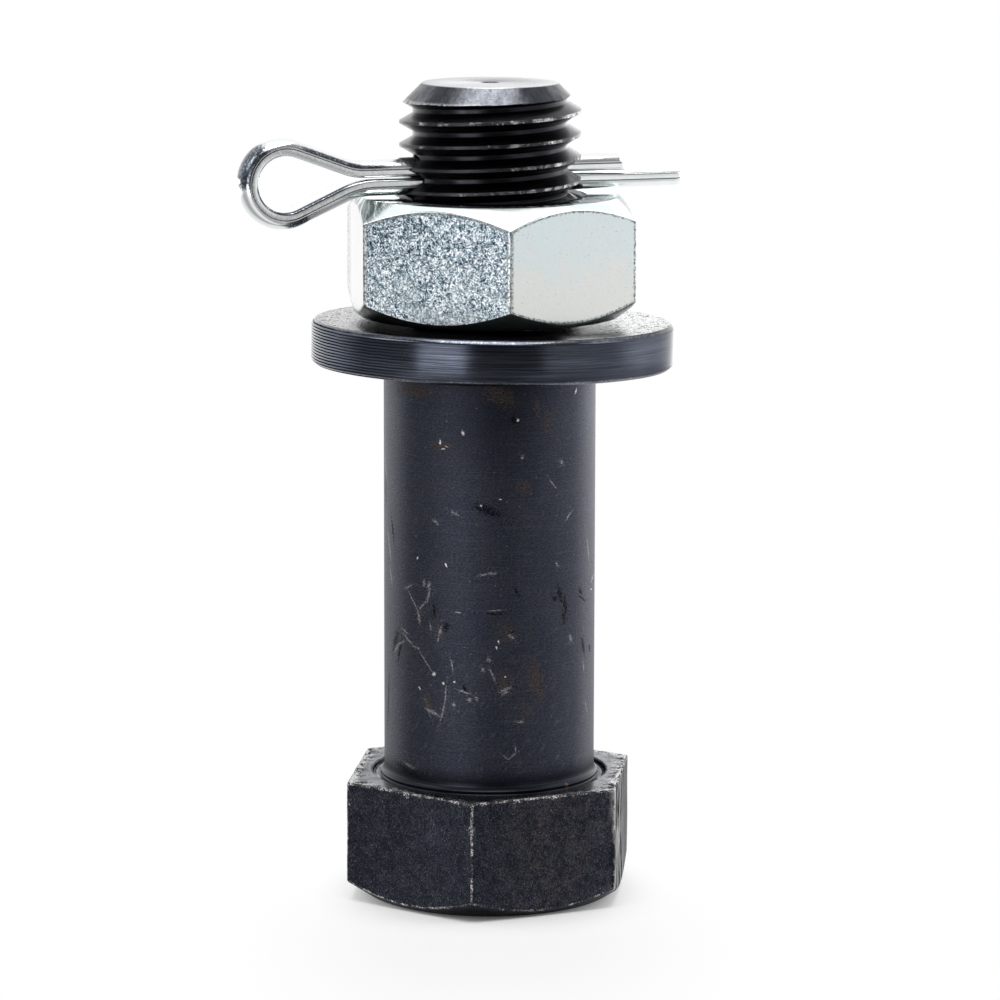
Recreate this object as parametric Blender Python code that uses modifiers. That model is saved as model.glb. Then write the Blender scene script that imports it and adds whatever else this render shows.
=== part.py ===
"""Rod bolt: a shouldered hex bolt with a washer, a hex nut and a split pin.

Units are metres, +Z is up. The bolt stands on its head: the origin is the centre of the
head's end face, +Z runs along the bolt's axis to the threaded end, and +X runs along the
split pin towards its two prongs, so the pin's eye lies at -X.

Run it with: blender --background --python part.py
"""
import math

import bmesh
import bpy
from mathutils import Vector

# Clearances between pieces that touch on the real object
SEAT_GAP = 0.00025
NUT_SEAT_GAP = 0.0004
THREAD_GAP = 0.0003
PIN_HOLE_GAP = 0.0003
WASHER_BORE_GAP = 0.0006
LEG_GAP = 0.0002

# Bolt: head
HEAD_ACROSS_FLATS = 0.0355
HEAD_HEIGHT = 0.016
HEAD_CHAMFER_HEIGHT = 0.0026
HEAD_CHAMFER_ANGLE = math.radians(34)
HEAD_TURN = math.radians(5.9)
FACE_GROOVE_WIDTH = 0.001
FACE_GROOVE_DEPTH = 0.0004

# Bolt: shank
SHANK_DIAMETER = 0.0279
GRIP_LENGTH = 0.0539
SHANK_FOOT_FLARE = 0.0006
SHANK_FOOT_HEIGHT = 0.0012
SHOULDER_CHAMFER = 0.0004

# Bolt: thread, right hand
THREAD_DIAMETER = 0.02375
THREAD_PITCH = 0.003
THREAD_DEPTH = 0.00174
THREAD_CREST = 0.0004
THREAD_FLANK = math.radians(30)
THREAD_CREST_LEVEL = 0.09805
THREADED_END_LENGTH = 0.0376
RELIEF_LENGTH = 0.0035
RELIEF_DEPTH = 0.0003
END_CHAMFER = 0.003
CENTRE_MARK_RADIUS = 0.0011
CENTRE_MARK_DEPTH = 0.0009
STEM_ROOT_DEPTH = 0.0053
HOLE_EDGE_BREAK = 0.0009
HOLE_EDGE_WIDENING = 0.0009

# Washer
WASHER_DIAMETER = 0.0476
WASHER_THICKNESS = 0.0058
WASHER_CHAMFER = 0.00055
WASHER_TILT = math.radians(1.5)
WASHER_TILT_DIRECTION = math.radians(35.6)
WASHER_SHIFT = 0.00032
WASHER_SHIFT_DIRECTION = math.radians(-18)

# Nut
NUT_ACROSS_FLATS = 0.0355
NUT_HEIGHT = 0.01575
NUT_CHAMFER_HEIGHT = 0.0026
NUT_CHAMFER_ANGLE = math.radians(37)
NUT_TURN = math.radians(19.6)
NUT_ENTRY_CHAMFER = 0.0004

# Split pin: half-round wire folded on itself
WIRE_THICKNESS = 0.00235
WIRE_WIDTH = 0.0045
WIRE_SIDE = 0.001
WIRE_EDGE = 0.00015
EYE_RADIUS = 0.00362
EYE_DISTANCE = 0.02812
EYE_DROOP = 0.00043
UPPER_BEND_START = 0.0176
UPPER_BEND_RADIUS = 0.0085
LOWER_BEND_START = 0.0162
LOWER_BEND_RADIUS = 0.0112
SHORT_PRONG = 0.0182
LONG_PRONG = 0.02605
PRONG_START = 0.0125
PRONG_DROP = 0.00015
PRONG_SLIMMING = 0.9
PRONG_NOSE = 0.0006
PRONG_NOSE_SCALE = 0.7

# Smoothness of the turned and drawn surfaces
TURN_STEPS = 48
WASHER_STEPS = 60
NUT_THREAD_STEPS = 32
HOLE_STEPS = 24
FOOT_STEPS = 4
WIRE_ARC_STEPS = 7
EYE_STEPS = 22
BEND_STEPS = 5
ARM_STEP = 0.0024
WELD_DISTANCE = 0.00001
SHARP_ANGLE = math.radians(28)
FACE_WEIGHT = 80

# How far the cutters reach past what they cut
CUTTER_REACH = 0.0006
THREAD_OVERLAP = 0.0002
SPARE_TURNS = 1

# Levels along the axis, from the sizes above
BEARING_LEVEL = HEAD_HEIGHT
SHOULDER_LEVEL = BEARING_LEVEL + GRIP_LENGTH
TOP_LEVEL = SHOULDER_LEVEL + THREADED_END_LENGTH
SHANK_RADIUS = SHANK_DIAMETER / 2
THREAD_RADIUS = THREAD_DIAMETER / 2
ROOT_RADIUS = THREAD_RADIUS - THREAD_DEPTH
NUT_FACE_RADIUS = NUT_ACROSS_FLATS / math.sqrt(3) - NUT_CHAMFER_HEIGHT / math.tan(NUT_CHAMFER_ANGLE)
WASHER_LEVEL = SHOULDER_LEVEL + SEAT_GAP + SHANK_RADIUS * math.sin(WASHER_TILT)
WASHER_TOP = WASHER_LEVEL + WASHER_THICKNESS
NUT_LEVEL = WASHER_TOP + NUT_SEAT_GAP + NUT_FACE_RADIUS * math.sin(WASHER_TILT)
NUT_TOP = NUT_LEVEL + NUT_HEIGHT
PIN_HALF_HEIGHT = WIRE_THICKNESS + LEG_GAP / 2
PIN_LEVEL = NUT_TOP + SEAT_GAP + PIN_HALF_HEIGHT


def clear_scene():
    """Remove every object of the file that is open."""
    for found in list(bpy.data.objects):
        bpy.data.objects.remove(found, do_unlink=True)


def make_collection(name):
    """A new collection, linked to the scene."""
    made = bpy.data.collections.new(name)
    bpy.context.scene.collection.children.link(made)
    return made


def make_material(name, colour, roughness, metallic):
    """A Principled material."""
    made = bpy.data.materials.new(name)
    made.use_nodes = True
    shader = made.node_tree.nodes["Principled BSDF"]
    shader.inputs["Base Color"].default_value = (*colour, 1.0)
    shader.inputs["Roughness"].default_value = roughness
    shader.inputs["Metallic"].default_value = metallic
    return made


def add_mesh_object(name, mesh, collection, material=None):
    """An object on a mesh, in a collection."""
    made = bpy.data.objects.new(name, mesh)
    collection.objects.link(made)
    if material:
        mesh.materials.append(material)
    return made


def mark_cutter(cutter):
    """Set a cutter or a guide apart from the parts."""
    cutter.hide_render = True
    cutter.display_type = "WIRE"
    return cutter


def profile_mesh(name, points, closed=False):
    """A mesh of edges only, through (radius, height) points at +X."""
    mesh = bpy.data.meshes.new(name)
    outline = bmesh.new()
    verts = [outline.verts.new((radius, 0.0, height)) for radius, height in points]
    for first, second in zip(verts, verts[1:]):
        outline.edges.new((first, second))
    if closed:
        outline.edges.new((verts[-1], verts[0]))
    outline.to_mesh(mesh)
    outline.free()
    return mesh


def turn(made, steps=TURN_STEPS):
    """Turn a profile round +Z with a Screw modifier."""
    screw = made.modifiers.new("turned", "SCREW")
    screw.steps = steps
    screw.render_steps = steps
    screw.use_merge_vertices = True
    screw.merge_threshold = WELD_DISTANCE
    return made


def turned(name, points, collection, material=None, steps=TURN_STEPS):
    """A turned solid from a profile that runs down its outer side, axis to axis."""
    return turn(add_mesh_object(name, profile_mesh(name, points), collection, material), steps)


def hexagon_bar(name, across_flats, bottom, top, turned_by, collection, material=None):
    """A six-sided bar between two levels, with a corner at the given angle from +X."""
    mesh = bpy.data.meshes.new(name)
    bar = bmesh.new()
    corner = across_flats / math.sqrt(3)
    bmesh.ops.create_cone(bar, cap_ends=True, segments=6, radius1=corner, radius2=corner,
                          depth=top - bottom)
    bar.to_mesh(mesh)
    bar.free()
    made = add_mesh_object(name, mesh, collection, material)
    first_corner = math.atan2(mesh.vertices[0].co.y, mesh.vertices[0].co.x)
    made.location.z = (bottom + top) / 2
    made.rotation_euler.z = turned_by - first_corner
    return made


def combine(target, operation, tool, label):
    """A Boolean modifier on the target."""
    step = target.modifiers.new(label, "BOOLEAN")
    step.operation = operation
    step.solver = "EXACT"
    step.object = tool


def chamfer_envelope(name, across_flats, bottom, top, lower, upper, collection):
    """A turned blank that cuts a hexagon's corners back to a cone at one end or both.

    lower and upper are (height, angle) of the cone measured at the corners, or None.
    """
    corner = across_flats / math.sqrt(3)
    beyond = CUTTER_REACH
    points = [(0.0, top)]
    if upper:
        height, angle = upper
        points.append((corner - height / math.tan(angle), top))
        points.append((corner + beyond, top - height - beyond * math.tan(angle)))
    else:
        points.append((corner + beyond, top))
    if lower:
        height, angle = lower
        points.append((corner + beyond, bottom + height + beyond * math.tan(angle)))
        points.append((corner - height / math.tan(angle), bottom))
    else:
        points.append((corner + beyond, bottom))
    points.append((0.0, bottom))
    return mark_cutter(turned(name, points, collection))


def helix(name, half_widths, level, bottom, top, collection, steps=TURN_STEPS):
    """A closed helical cutter of four-cornered section.

    half_widths is ((inner radius, half width), (outer radius, half width)), level is the
    height of the section's middle at +X, and the cutter reaches past bottom and top.
    """
    (inner, inner_half), (outer, outer_half) = half_widths
    turns = math.ceil((top - bottom) / THREAD_PITCH) + 2 * SPARE_TURNS
    below = math.ceil((level - bottom) / THREAD_PITCH) + SPARE_TURNS
    start = level - below * THREAD_PITCH
    section = [(inner, start + inner_half), (outer, start + outer_half),
               (outer, start - outer_half), (inner, start - inner_half)]
    source = add_mesh_object(name + "_section", profile_mesh(name, section, closed=True), collection)
    screw = source.modifiers.new("helix", "SCREW")
    screw.steps = steps
    screw.render_steps = steps
    screw.screw_offset = THREAD_PITCH
    screw.iterations = turns
    screw.use_merge_vertices = False
    made = to_mesh_object(name, source, collection)
    body = bmesh.new()
    body.from_mesh(made.data)
    bmesh.ops.holes_fill(body, edges=[edge for edge in body.edges if edge.is_boundary], sides=4)
    bmesh.ops.recalc_face_normals(body, faces=body.faces)
    body.to_mesh(made.data)
    body.free()
    return mark_cutter(made)


def to_mesh_object(name, source, collection, material=None):
    """Replace an object by the plain mesh that its curve or modifiers give, welded."""
    bpy.context.view_layer.update()
    graph = bpy.context.evaluated_depsgraph_get()
    mesh = bpy.data.meshes.new_from_object(source.evaluated_get(graph))
    body = bmesh.new()
    body.from_mesh(mesh)
    bmesh.ops.remove_doubles(body, verts=body.verts, dist=WELD_DISTANCE)
    bmesh.ops.recalc_face_normals(body, faces=body.faces)
    body.to_mesh(mesh)
    body.free()
    mesh.name = name
    made = add_mesh_object(name, mesh, collection, material)
    made.matrix_world = source.matrix_world.copy()
    bpy.data.objects.remove(source, do_unlink=True)
    return made


def shade_by_area(made):
    """Let the large faces of a cut or turned piece set the shading at their edges."""
    weighted = made.modifiers.new("shading", "WEIGHTED_NORMAL")
    weighted.mode = "FACE_AREA_WITH_ANGLE"
    weighted.weight = FACE_WEIGHT


def arc(centre, radius, start, end, count):
    """Points along an arc, both ends included."""
    return [(centre[0] + radius * math.cos(start + (end - start) * step / count),
             centre[1] + radius * math.sin(start + (end - start) * step / count))
            for step in range(count + 1)]


def bolt_stem_profile():
    """The stem's outer side from the centre mark down to its root inside the head."""
    relief_radius = ROOT_RADIUS - RELIEF_DEPTH
    relief_top = SHOULDER_LEVEL + RELIEF_LENGTH
    slope = THREAD_RADIUS - relief_radius
    points = [(0.0, TOP_LEVEL - CENTRE_MARK_DEPTH), (CENTRE_MARK_RADIUS, TOP_LEVEL),
              (THREAD_RADIUS - END_CHAMFER, TOP_LEVEL), (THREAD_RADIUS, TOP_LEVEL - END_CHAMFER),
              (THREAD_RADIUS, relief_top + slope), (relief_radius, relief_top),
              (relief_radius, SHOULDER_LEVEL),
              (SHANK_RADIUS - SHOULDER_CHAMFER, SHOULDER_LEVEL),
              (SHANK_RADIUS, SHOULDER_LEVEL - SHOULDER_CHAMFER)]
    for step in range(FOOT_STEPS + 1):
        part = math.pi / 2 * step / FOOT_STEPS
        points.append((SHANK_RADIUS + SHANK_FOOT_FLARE * (1 - math.cos(part)),
                       BEARING_LEVEL + SHANK_FOOT_HEIGHT * (1 - math.sin(part))))
    root_level = BEARING_LEVEL - STEM_ROOT_DEPTH
    points += [(SHANK_RADIUS + SHANK_FOOT_FLARE, root_level), (0.0, root_level)]
    return points


def face_groove(collection):
    """The turned groove in the bearing face, round the shank's foot."""
    inner = SHANK_RADIUS + SHANK_FOOT_FLARE / 2
    outer = SHANK_RADIUS + SHANK_FOOT_FLARE + FACE_GROOVE_WIDTH
    above = BEARING_LEVEL + FACE_GROOVE_DEPTH
    below = BEARING_LEVEL - FACE_GROOVE_DEPTH
    section = [(inner, above), (outer, above), (outer, below), (inner, below)]
    mesh = profile_mesh("face_groove", section, closed=True)
    return mark_cutter(turn(add_mesh_object("face_groove", mesh, collection)))


def cross_hole(collection):
    """The drilled hole for the split pin, with its edges broken on both sides."""
    radius = leg_pair_radius() + PIN_HOLE_GAP
    inner = THREAD_RADIUS - HOLE_EDGE_BREAK
    outer = THREAD_RADIUS + HOLE_EDGE_BREAK
    mouth = radius + HOLE_EDGE_WIDENING
    points = [(0.0, outer), (mouth, outer), (radius, inner),
              (radius, -inner), (mouth, -outer), (0.0, -outer)]
    cutter = turned("cross_hole", points, collection, steps=HOLE_STEPS)
    cutter.rotation_euler.y = math.pi / 2
    cutter.location.z = PIN_LEVEL
    return mark_cutter(cutter)


def make_bolt(parts, cutters, material):
    """The bolt: forged hex head, turned shank, cut thread and drilled cross-hole in one piece."""
    bolt = hexagon_bar("bolt", HEAD_ACROSS_FLATS, 0.0, BEARING_LEVEL, HEAD_TURN, parts, material)
    envelope = chamfer_envelope("head_envelope", HEAD_ACROSS_FLATS, 0.0, BEARING_LEVEL + SEAT_GAP,
                                (HEAD_CHAMFER_HEIGHT, HEAD_CHAMFER_ANGLE), None, cutters)
    stem = mark_cutter(turned("stem", bolt_stem_profile(), cutters))
    groove_half = THREAD_PITCH / 2 - THREAD_CREST / 2
    tan_flank = math.tan(THREAD_FLANK)
    groove_section = ((ROOT_RADIUS, groove_half - THREAD_DEPTH * tan_flank),
                      (THREAD_RADIUS + THREAD_OVERLAP, groove_half + THREAD_OVERLAP * tan_flank))
    thread = helix("thread_groove", groove_section, THREAD_CREST_LEVEL + THREAD_PITCH / 2,
                   SHOULDER_LEVEL + RELIEF_LENGTH, TOP_LEVEL, cutters)
    trim_thread_cutter(thread, cutters)
    combine(bolt, "INTERSECT", envelope, "corner_chamfer")
    combine(bolt, "DIFFERENCE", face_groove(cutters), "face_groove")
    combine(bolt, "UNION", stem, "stem")
    combine(bolt, "DIFFERENCE", thread, "thread")
    combine(bolt, "DIFFERENCE", cross_hole(cutters), "cross_hole")
    shade_by_area(bolt)
    return bolt


def trim_thread_cutter(thread, cutters):
    """Keep the thread cutter above the relief, clear of the shank's shoulder."""
    reach = THREAD_RADIUS + CUTTER_REACH
    bottom = SHOULDER_LEVEL + RELIEF_LENGTH / 2
    top = TOP_LEVEL + THREAD_PITCH
    points = [(0.0, top), (reach, top), (reach, bottom), (0.0, bottom)]
    keeper = mark_cutter(turned("thread_keeper", points, cutters))
    combine(thread, "INTERSECT", keeper, "kept_length")


def make_washer(parts, material):
    """The washer: a thick turned ring with its corners broken, lying a little tilted."""
    bore = THREAD_RADIUS + WASHER_BORE_GAP
    outer = WASHER_DIAMETER / 2
    top, edge = WASHER_THICKNESS, WASHER_CHAMFER
    section = [(bore, top), (outer - edge, top), (outer, top - edge), (outer, edge),
               (outer - edge, 0.0), (bore, 0.0)]
    mesh = profile_mesh("washer", section, closed=True)
    washer = turn(add_mesh_object("washer", mesh, parts, material), steps=WASHER_STEPS)
    low_side = Vector((math.cos(WASHER_TILT_DIRECTION), math.sin(WASHER_TILT_DIRECTION), 0.0))
    washer.rotation_mode = "AXIS_ANGLE"
    washer.rotation_axis_angle = (WASHER_TILT, *Vector((0.0, 0.0, 1.0)).cross(low_side))
    washer.location = (WASHER_SHIFT * math.cos(WASHER_SHIFT_DIRECTION),
                       WASHER_SHIFT * math.sin(WASHER_SHIFT_DIRECTION), WASHER_LEVEL)
    shade_by_area(washer)
    return washer


def make_nut(parts, cutters, material):
    """The hex nut: chamfered at both faces, its thread clear of the bolt's."""
    nut = hexagon_bar("hex_nut", NUT_ACROSS_FLATS, NUT_LEVEL, NUT_TOP, NUT_TURN, parts, material)
    cone = (NUT_CHAMFER_HEIGHT, NUT_CHAMFER_ANGLE)
    envelope = chamfer_envelope("nut_envelope", NUT_ACROSS_FLATS, NUT_LEVEL, NUT_TOP, cone, cone, cutters)
    bore = ROOT_RADIUS + THREAD_GAP
    entry = THREAD_RADIUS + THREAD_GAP + NUT_ENTRY_CHAMFER
    slope = entry - bore
    above, below, mouth = NUT_TOP + CUTTER_REACH, NUT_LEVEL - CUTTER_REACH, entry + CUTTER_REACH
    points = [(0.0, above), (mouth, above), (bore, NUT_TOP - slope),
              (bore, NUT_LEVEL + slope), (mouth, below), (0.0, below)]
    drill = mark_cutter(turned("nut_bore", points, cutters))
    axial_gap = THREAD_GAP / math.cos(THREAD_FLANK)
    tan_flank = math.tan(THREAD_FLANK)
    outer_half = THREAD_CREST / 2 - THREAD_GAP * tan_flank + axial_gap
    tap_section = ((bore - THREAD_OVERLAP, outer_half + (THREAD_DEPTH + THREAD_OVERLAP) * tan_flank),
                   (THREAD_RADIUS + THREAD_GAP, outer_half))
    tap = helix("nut_tap", tap_section, THREAD_CREST_LEVEL, NUT_LEVEL, NUT_TOP, cutters, NUT_THREAD_STEPS)
    combine(nut, "INTERSECT", envelope, "corner_chamfers")
    combine(nut, "DIFFERENCE", drill, "bore")
    combine(nut, "DIFFERENCE", tap, "thread")
    shade_by_area(nut)
    return nut


def wire_outline():
    """The half-round wire's outline: flat below, straight sides, round back."""
    half = WIRE_WIDTH / 2
    rise = WIRE_THICKNESS - WIRE_SIDE
    points = [(-half, WIRE_EDGE), (WIRE_EDGE - half, 0.0), (half - WIRE_EDGE, 0.0), (half, WIRE_EDGE)]
    for step in range(WIRE_ARC_STEPS + 1):
        angle = math.pi * step / WIRE_ARC_STEPS
        points.append((half * math.cos(angle), WIRE_SIDE + rise * math.sin(angle)))
    return points


def leg_pair_radius():
    """Radius of the round bar that the two legs make together."""
    return max(math.hypot(across, up + LEG_GAP / 2) for across, up in wire_outline())


def wire_section(collection):
    """The wire's outline as a curve, for the pin's wire to follow."""
    points = wire_outline()
    curve = bpy.data.curves.new("wire_section", "CURVE")
    curve.dimensions = "2D"
    spline = curve.splines.new("POLY")
    spline.points.add(len(points) - 1)
    for target, (across, up) in zip(spline.points, points):
        target.co = (across, up, 0.0, 1.0)
    spline.use_cyclic_u = True
    section = bpy.data.objects.new("wire_section", curve)
    collection.objects.link(section)
    return mark_cutter(section)


def cross_tangent(bend_centre, bend_radius, eye_centre, side):
    """Angle of the line that touches the bend from outside and the eye from inside.

    side is 1 above the pin's axis and -1 below it. Returns how far the arm leans from
    the pin's axis.
    """
    along = bend_centre[0] - eye_centre[0]
    across = side * (bend_centre[1] - eye_centre[1])
    distance = math.hypot(along, across)
    lean = math.asin((bend_radius + EYE_RADIUS) / distance)
    return lean - math.atan2(across, along)


def pin_arm(bend_start, bend_radius, side):
    """One arm's inner line from the end of its straight leg to the eye, and its lean."""
    eye_centre = (-EYE_DISTANCE, -EYE_DROOP)
    bend_centre = (-bend_start, side * (LEG_GAP / 2 + bend_radius))
    lean = cross_tangent(bend_centre, bend_radius, eye_centre, side)
    points = [(bend_centre[0] - bend_radius * math.sin(lean * step / BEND_STEPS),
               bend_centre[1] - side * bend_radius * math.cos(lean * step / BEND_STEPS))
              for step in range(BEND_STEPS + 1)]
    touch = (eye_centre[0] + EYE_RADIUS * math.sin(lean),
             eye_centre[1] + side * EYE_RADIUS * math.cos(lean))
    last = points[-1]
    straight_steps = round(math.dist(last, touch) / ARM_STEP)
    for step in range(1, straight_steps):
        part = step / straight_steps
        points.append((last[0] + (touch[0] - last[0]) * part, last[1] + (touch[1] - last[1]) * part))
    return points, lean


def pin_path():
    """The folded wire's inner line, as (along, up, section scale) from prong to prong."""
    upper, upper_lean = pin_arm(UPPER_BEND_START, UPPER_BEND_RADIUS, 1)
    lower, lower_lean = pin_arm(LOWER_BEND_START, LOWER_BEND_RADIUS, -1)
    half_gap = LEG_GAP / 2
    eye = arc((-EYE_DISTANCE, -EYE_DROOP), EYE_RADIUS, math.pi / 2 - upper_lean,
              1.5 * math.pi + lower_lean, EYE_STEPS)
    folded = [(along, up, 1.0) for along, up in upper + eye + list(reversed(lower))]
    short_end = [(SHORT_PRONG, half_gap, PRONG_NOSE_SCALE), (SHORT_PRONG - PRONG_NOSE, half_gap, 1.0)]
    low = -half_gap - PRONG_DROP
    long_end = [(PRONG_START, -half_gap, 1.0), (SHORT_PRONG, low, PRONG_SLIMMING),
                (LONG_PRONG - PRONG_NOSE, low, PRONG_SLIMMING),
                (LONG_PRONG, low, PRONG_NOSE_SCALE * PRONG_SLIMMING)]
    return short_end + folded + long_end


def make_split_pin(parts, guides, material):
    """The split pin: one half-round wire folded into an eye and two legs of unlike length."""
    curve = bpy.data.curves.new("split_pin", "CURVE")
    curve.dimensions = "3D"
    curve.bevel_mode = "OBJECT"
    curve.bevel_object = wire_section(guides)
    curve.use_fill_caps = True
    path = pin_path()
    spline = curve.splines.new("POLY")
    spline.points.add(len(path) - 1)
    for target, (along, up, scale) in zip(spline.points, path):
        target.co = (along, 0.0, up, 1.0)
        target.radius = scale
    source = bpy.data.objects.new("split_pin_wire", curve)
    parts.objects.link(source)
    source.location.z = PIN_LEVEL
    pin = to_mesh_object("split_pin", source, parts, material)
    pin.data.shade_smooth()
    pin.data.set_sharp_from_angle(angle=SHARP_ANGLE)
    return pin


def main():
    clear_scene()
    parts = make_collection("rod_bolt")
    cutters = make_collection("rod_bolt_cutters")
    black_steel = make_material("black_steel", (0.045, 0.048, 0.058), 0.38, 1.0)
    dark_washer = make_material("dark_washer_steel", (0.075, 0.08, 0.09), 0.34, 1.0)
    zinc_nut = make_material("zinc_nut", (0.58, 0.62, 0.66), 0.36, 1.0)
    zinc_wire = make_material("zinc_wire", (0.68, 0.70, 0.71), 0.22, 1.0)
    make_bolt(parts, cutters, black_steel)
    make_washer(parts, dark_washer)
    make_nut(parts, cutters, zinc_nut)
    make_split_pin(parts, cutters, zinc_wire)


main()
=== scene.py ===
"""Looks of the rod bolt: bolt, washer, hex nut and split pin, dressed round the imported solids.

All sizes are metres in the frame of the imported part, unless a name ends in _mm. Patterns are
drawn in millimetres.
"""

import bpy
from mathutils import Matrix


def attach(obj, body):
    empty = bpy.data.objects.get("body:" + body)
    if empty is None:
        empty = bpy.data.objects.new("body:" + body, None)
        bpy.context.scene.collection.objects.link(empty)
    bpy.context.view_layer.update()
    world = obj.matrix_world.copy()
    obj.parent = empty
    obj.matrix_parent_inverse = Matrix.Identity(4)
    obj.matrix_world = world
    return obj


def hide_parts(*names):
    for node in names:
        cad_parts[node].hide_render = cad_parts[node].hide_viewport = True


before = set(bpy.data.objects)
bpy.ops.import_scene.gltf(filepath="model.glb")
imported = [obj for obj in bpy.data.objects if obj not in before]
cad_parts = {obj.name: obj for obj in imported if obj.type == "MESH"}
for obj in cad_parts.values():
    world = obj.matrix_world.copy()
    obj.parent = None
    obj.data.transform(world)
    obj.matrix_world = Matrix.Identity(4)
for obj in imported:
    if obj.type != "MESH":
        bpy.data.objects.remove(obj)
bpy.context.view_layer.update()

import logging
import math
from dataclasses import dataclass, field
from enum import Enum
from functools import reduce
from typing import Any, Callable, ClassVar, Sequence

import bmesh
import bpy
from mathutils import Matrix, Vector, noise

log = logging.getLogger("rod_bolt")

MM = 0.001
# Azimuth of the side that the photograph shows.
FACING = math.radians(-108)
BODY = "root"
# Points closer than this are one point.
WELD = 1e-7
# Points whose heights differ by less than this lie in one ring.
SAME_LEVEL = 2e-6

Point = tuple[float, float]
Place = tuple[float, float, float]
Colour = tuple[float, float, float]
Mark = tuple[float, ...]
Ring = list[int]
Row = tuple[list[float], list[float], list[float], int]


# ---------------------------------------------------------------- node graphs


class Term:
    """One output socket of a node graph, which can be reckoned with like a number."""

    def __init__(self, graph: "Graph", socket: bpy.types.NodeSocket) -> None:
        """Keep the graph and the socket."""
        self.graph = graph
        self.socket = socket

    def __add__(self, other: "Term | float") -> "Term":
        """Sum."""
        return self.graph.math("ADD", self, other)

    def __radd__(self, other: float) -> "Term":
        """Sum."""
        return self.graph.math("ADD", other, self)

    def __sub__(self, other: "Term | float") -> "Term":
        """Difference."""
        return self.graph.math("SUBTRACT", self, other)

    def __rsub__(self, other: float) -> "Term":
        """Difference."""
        return self.graph.math("SUBTRACT", other, self)

    def __mul__(self, other: "Term | float") -> "Term":
        """Product."""
        return self.graph.math("MULTIPLY", self, other)

    def __rmul__(self, other: float) -> "Term":
        """Product."""
        return self.graph.math("MULTIPLY", other, self)

    def __truediv__(self, other: "Term | float") -> "Term":
        """Quotient."""
        return self.graph.math("DIVIDE", self, other)

    def least(self, other: "Term | float") -> "Term":
        """The smaller of two."""
        return self.graph.math("MINIMUM", self, other)

    def most(self, other: "Term | float") -> "Term":
        """The larger of two."""
        return self.graph.math("MAXIMUM", self, other)

    def between(self, low: float, high: float) -> "Term":
        """0 up to low, 1 from high on, smooth between; high may be the smaller one."""
        return self.graph.stretch(self, low, high)


class Graph:
    """A node tree that is written down as sums and products of terms."""

    def __init__(self, tree: bpy.types.NodeTree) -> None:
        """Start from an empty tree."""
        self.tree = tree
        tree.nodes.clear()

    def node(self, kind: str, **settings: Any) -> bpy.types.Node:
        """A new node with its settings.

        Args:
            kind: Blender's name of the node type.
            settings: properties of the node.

        Returns:
            The node.
        """
        made = self.tree.nodes.new(kind)
        for name, value in settings.items():
            setattr(made, name, value)
        return made

    def feed(self, socket: bpy.types.NodeSocket, value: Any) -> None:
        """Link a term to a socket, or set a plain value on it.

        Args:
            socket: the input socket.
            value: term or plain value.
        """
        if isinstance(value, Term):
            self.tree.links.new(value.socket, socket)
        else:
            socket.default_value = value

    def term(self, kind: str, output: "int | str", inputs: "dict[int | str, Any]", **settings: Any) -> Term:
        """One output of a new node.

        Args:
            kind: Blender's name of the node type.
            output: number or name of the output.
            inputs: term or plain value of each input that is set, by number or name.
            settings: properties of the node.

        Returns:
            The output.
        """
        made = self.node(kind, **settings)
        for name, value in inputs.items():
            self.feed(made.inputs[name], value)
        return Term(self, made.outputs[output])

    def math(self, operation: str, *values: "Term | float") -> Term:
        """One step of arithmetic, by the name of the Math node's operation."""
        return self.term("ShaderNodeMath", 0, dict(enumerate(values)), operation=operation)

    def stretch(self, value: Term, low: float, high: float) -> Term:
        """Map a range smoothly onto 0 to 1.

        Args:
            value: what is mapped.
            low: where the result is 0.
            high: where the result is 1; it may be the smaller one.

        Returns:
            The mapped value.
        """
        start, end = 0.0, 1.0
        if high < low:
            low, high, start, end = high, low, end, start
        inputs = {"Value": value, "From Min": low, "From Max": high, "To Min": start, "To Max": end}
        return self.term("ShaderNodeMapRange", "Result", inputs, interpolation_type="SMOOTHSTEP")

    def split(self, vector: Term) -> tuple[Term, Term, Term]:
        """Take a vector apart.

        Args:
            vector: the vector.

        Returns:
            Its three components.
        """
        made = self.node("ShaderNodeSeparateXYZ")
        self.feed(made.inputs[0], vector)
        return Term(self, made.outputs[0]), Term(self, made.outputs[1]), Term(self, made.outputs[2])

    def join(self, x: "Term | float", y: "Term | float", z: "Term | float" = 0.0) -> Term:
        """A vector from three components."""
        return self.term("ShaderNodeCombineXYZ", 0, {0: x, 1: y, 2: z})

    def far_off(self, first: Term, second: Term) -> Term:
        """Length of a flat vector of two components."""
        return self.math("SQRT", first * first + second * second)

    def front_of(self, x: Term, y: Term) -> Term:
        """How far a place lies towards the side that the photograph shows."""
        return x * math.cos(FACING) + y * math.sin(FACING)

    def right_of(self, x: Term, y: Term) -> Term:
        """How far a place lies to the right of the axis, seen from the front."""
        return y * math.cos(FACING) - x * math.sin(FACING)

    def turned(self, vector: Term, angle: float, scale: float = 1.0) -> Term:
        """A vector scaled, and turned round the axis."""
        inputs = {"Vector": vector, "Rotation": (0.0, 0.0, angle), "Scale": (scale, scale, scale)}
        return self.term("ShaderNodeMapping", 0, inputs, vector_type="POINT")


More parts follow.
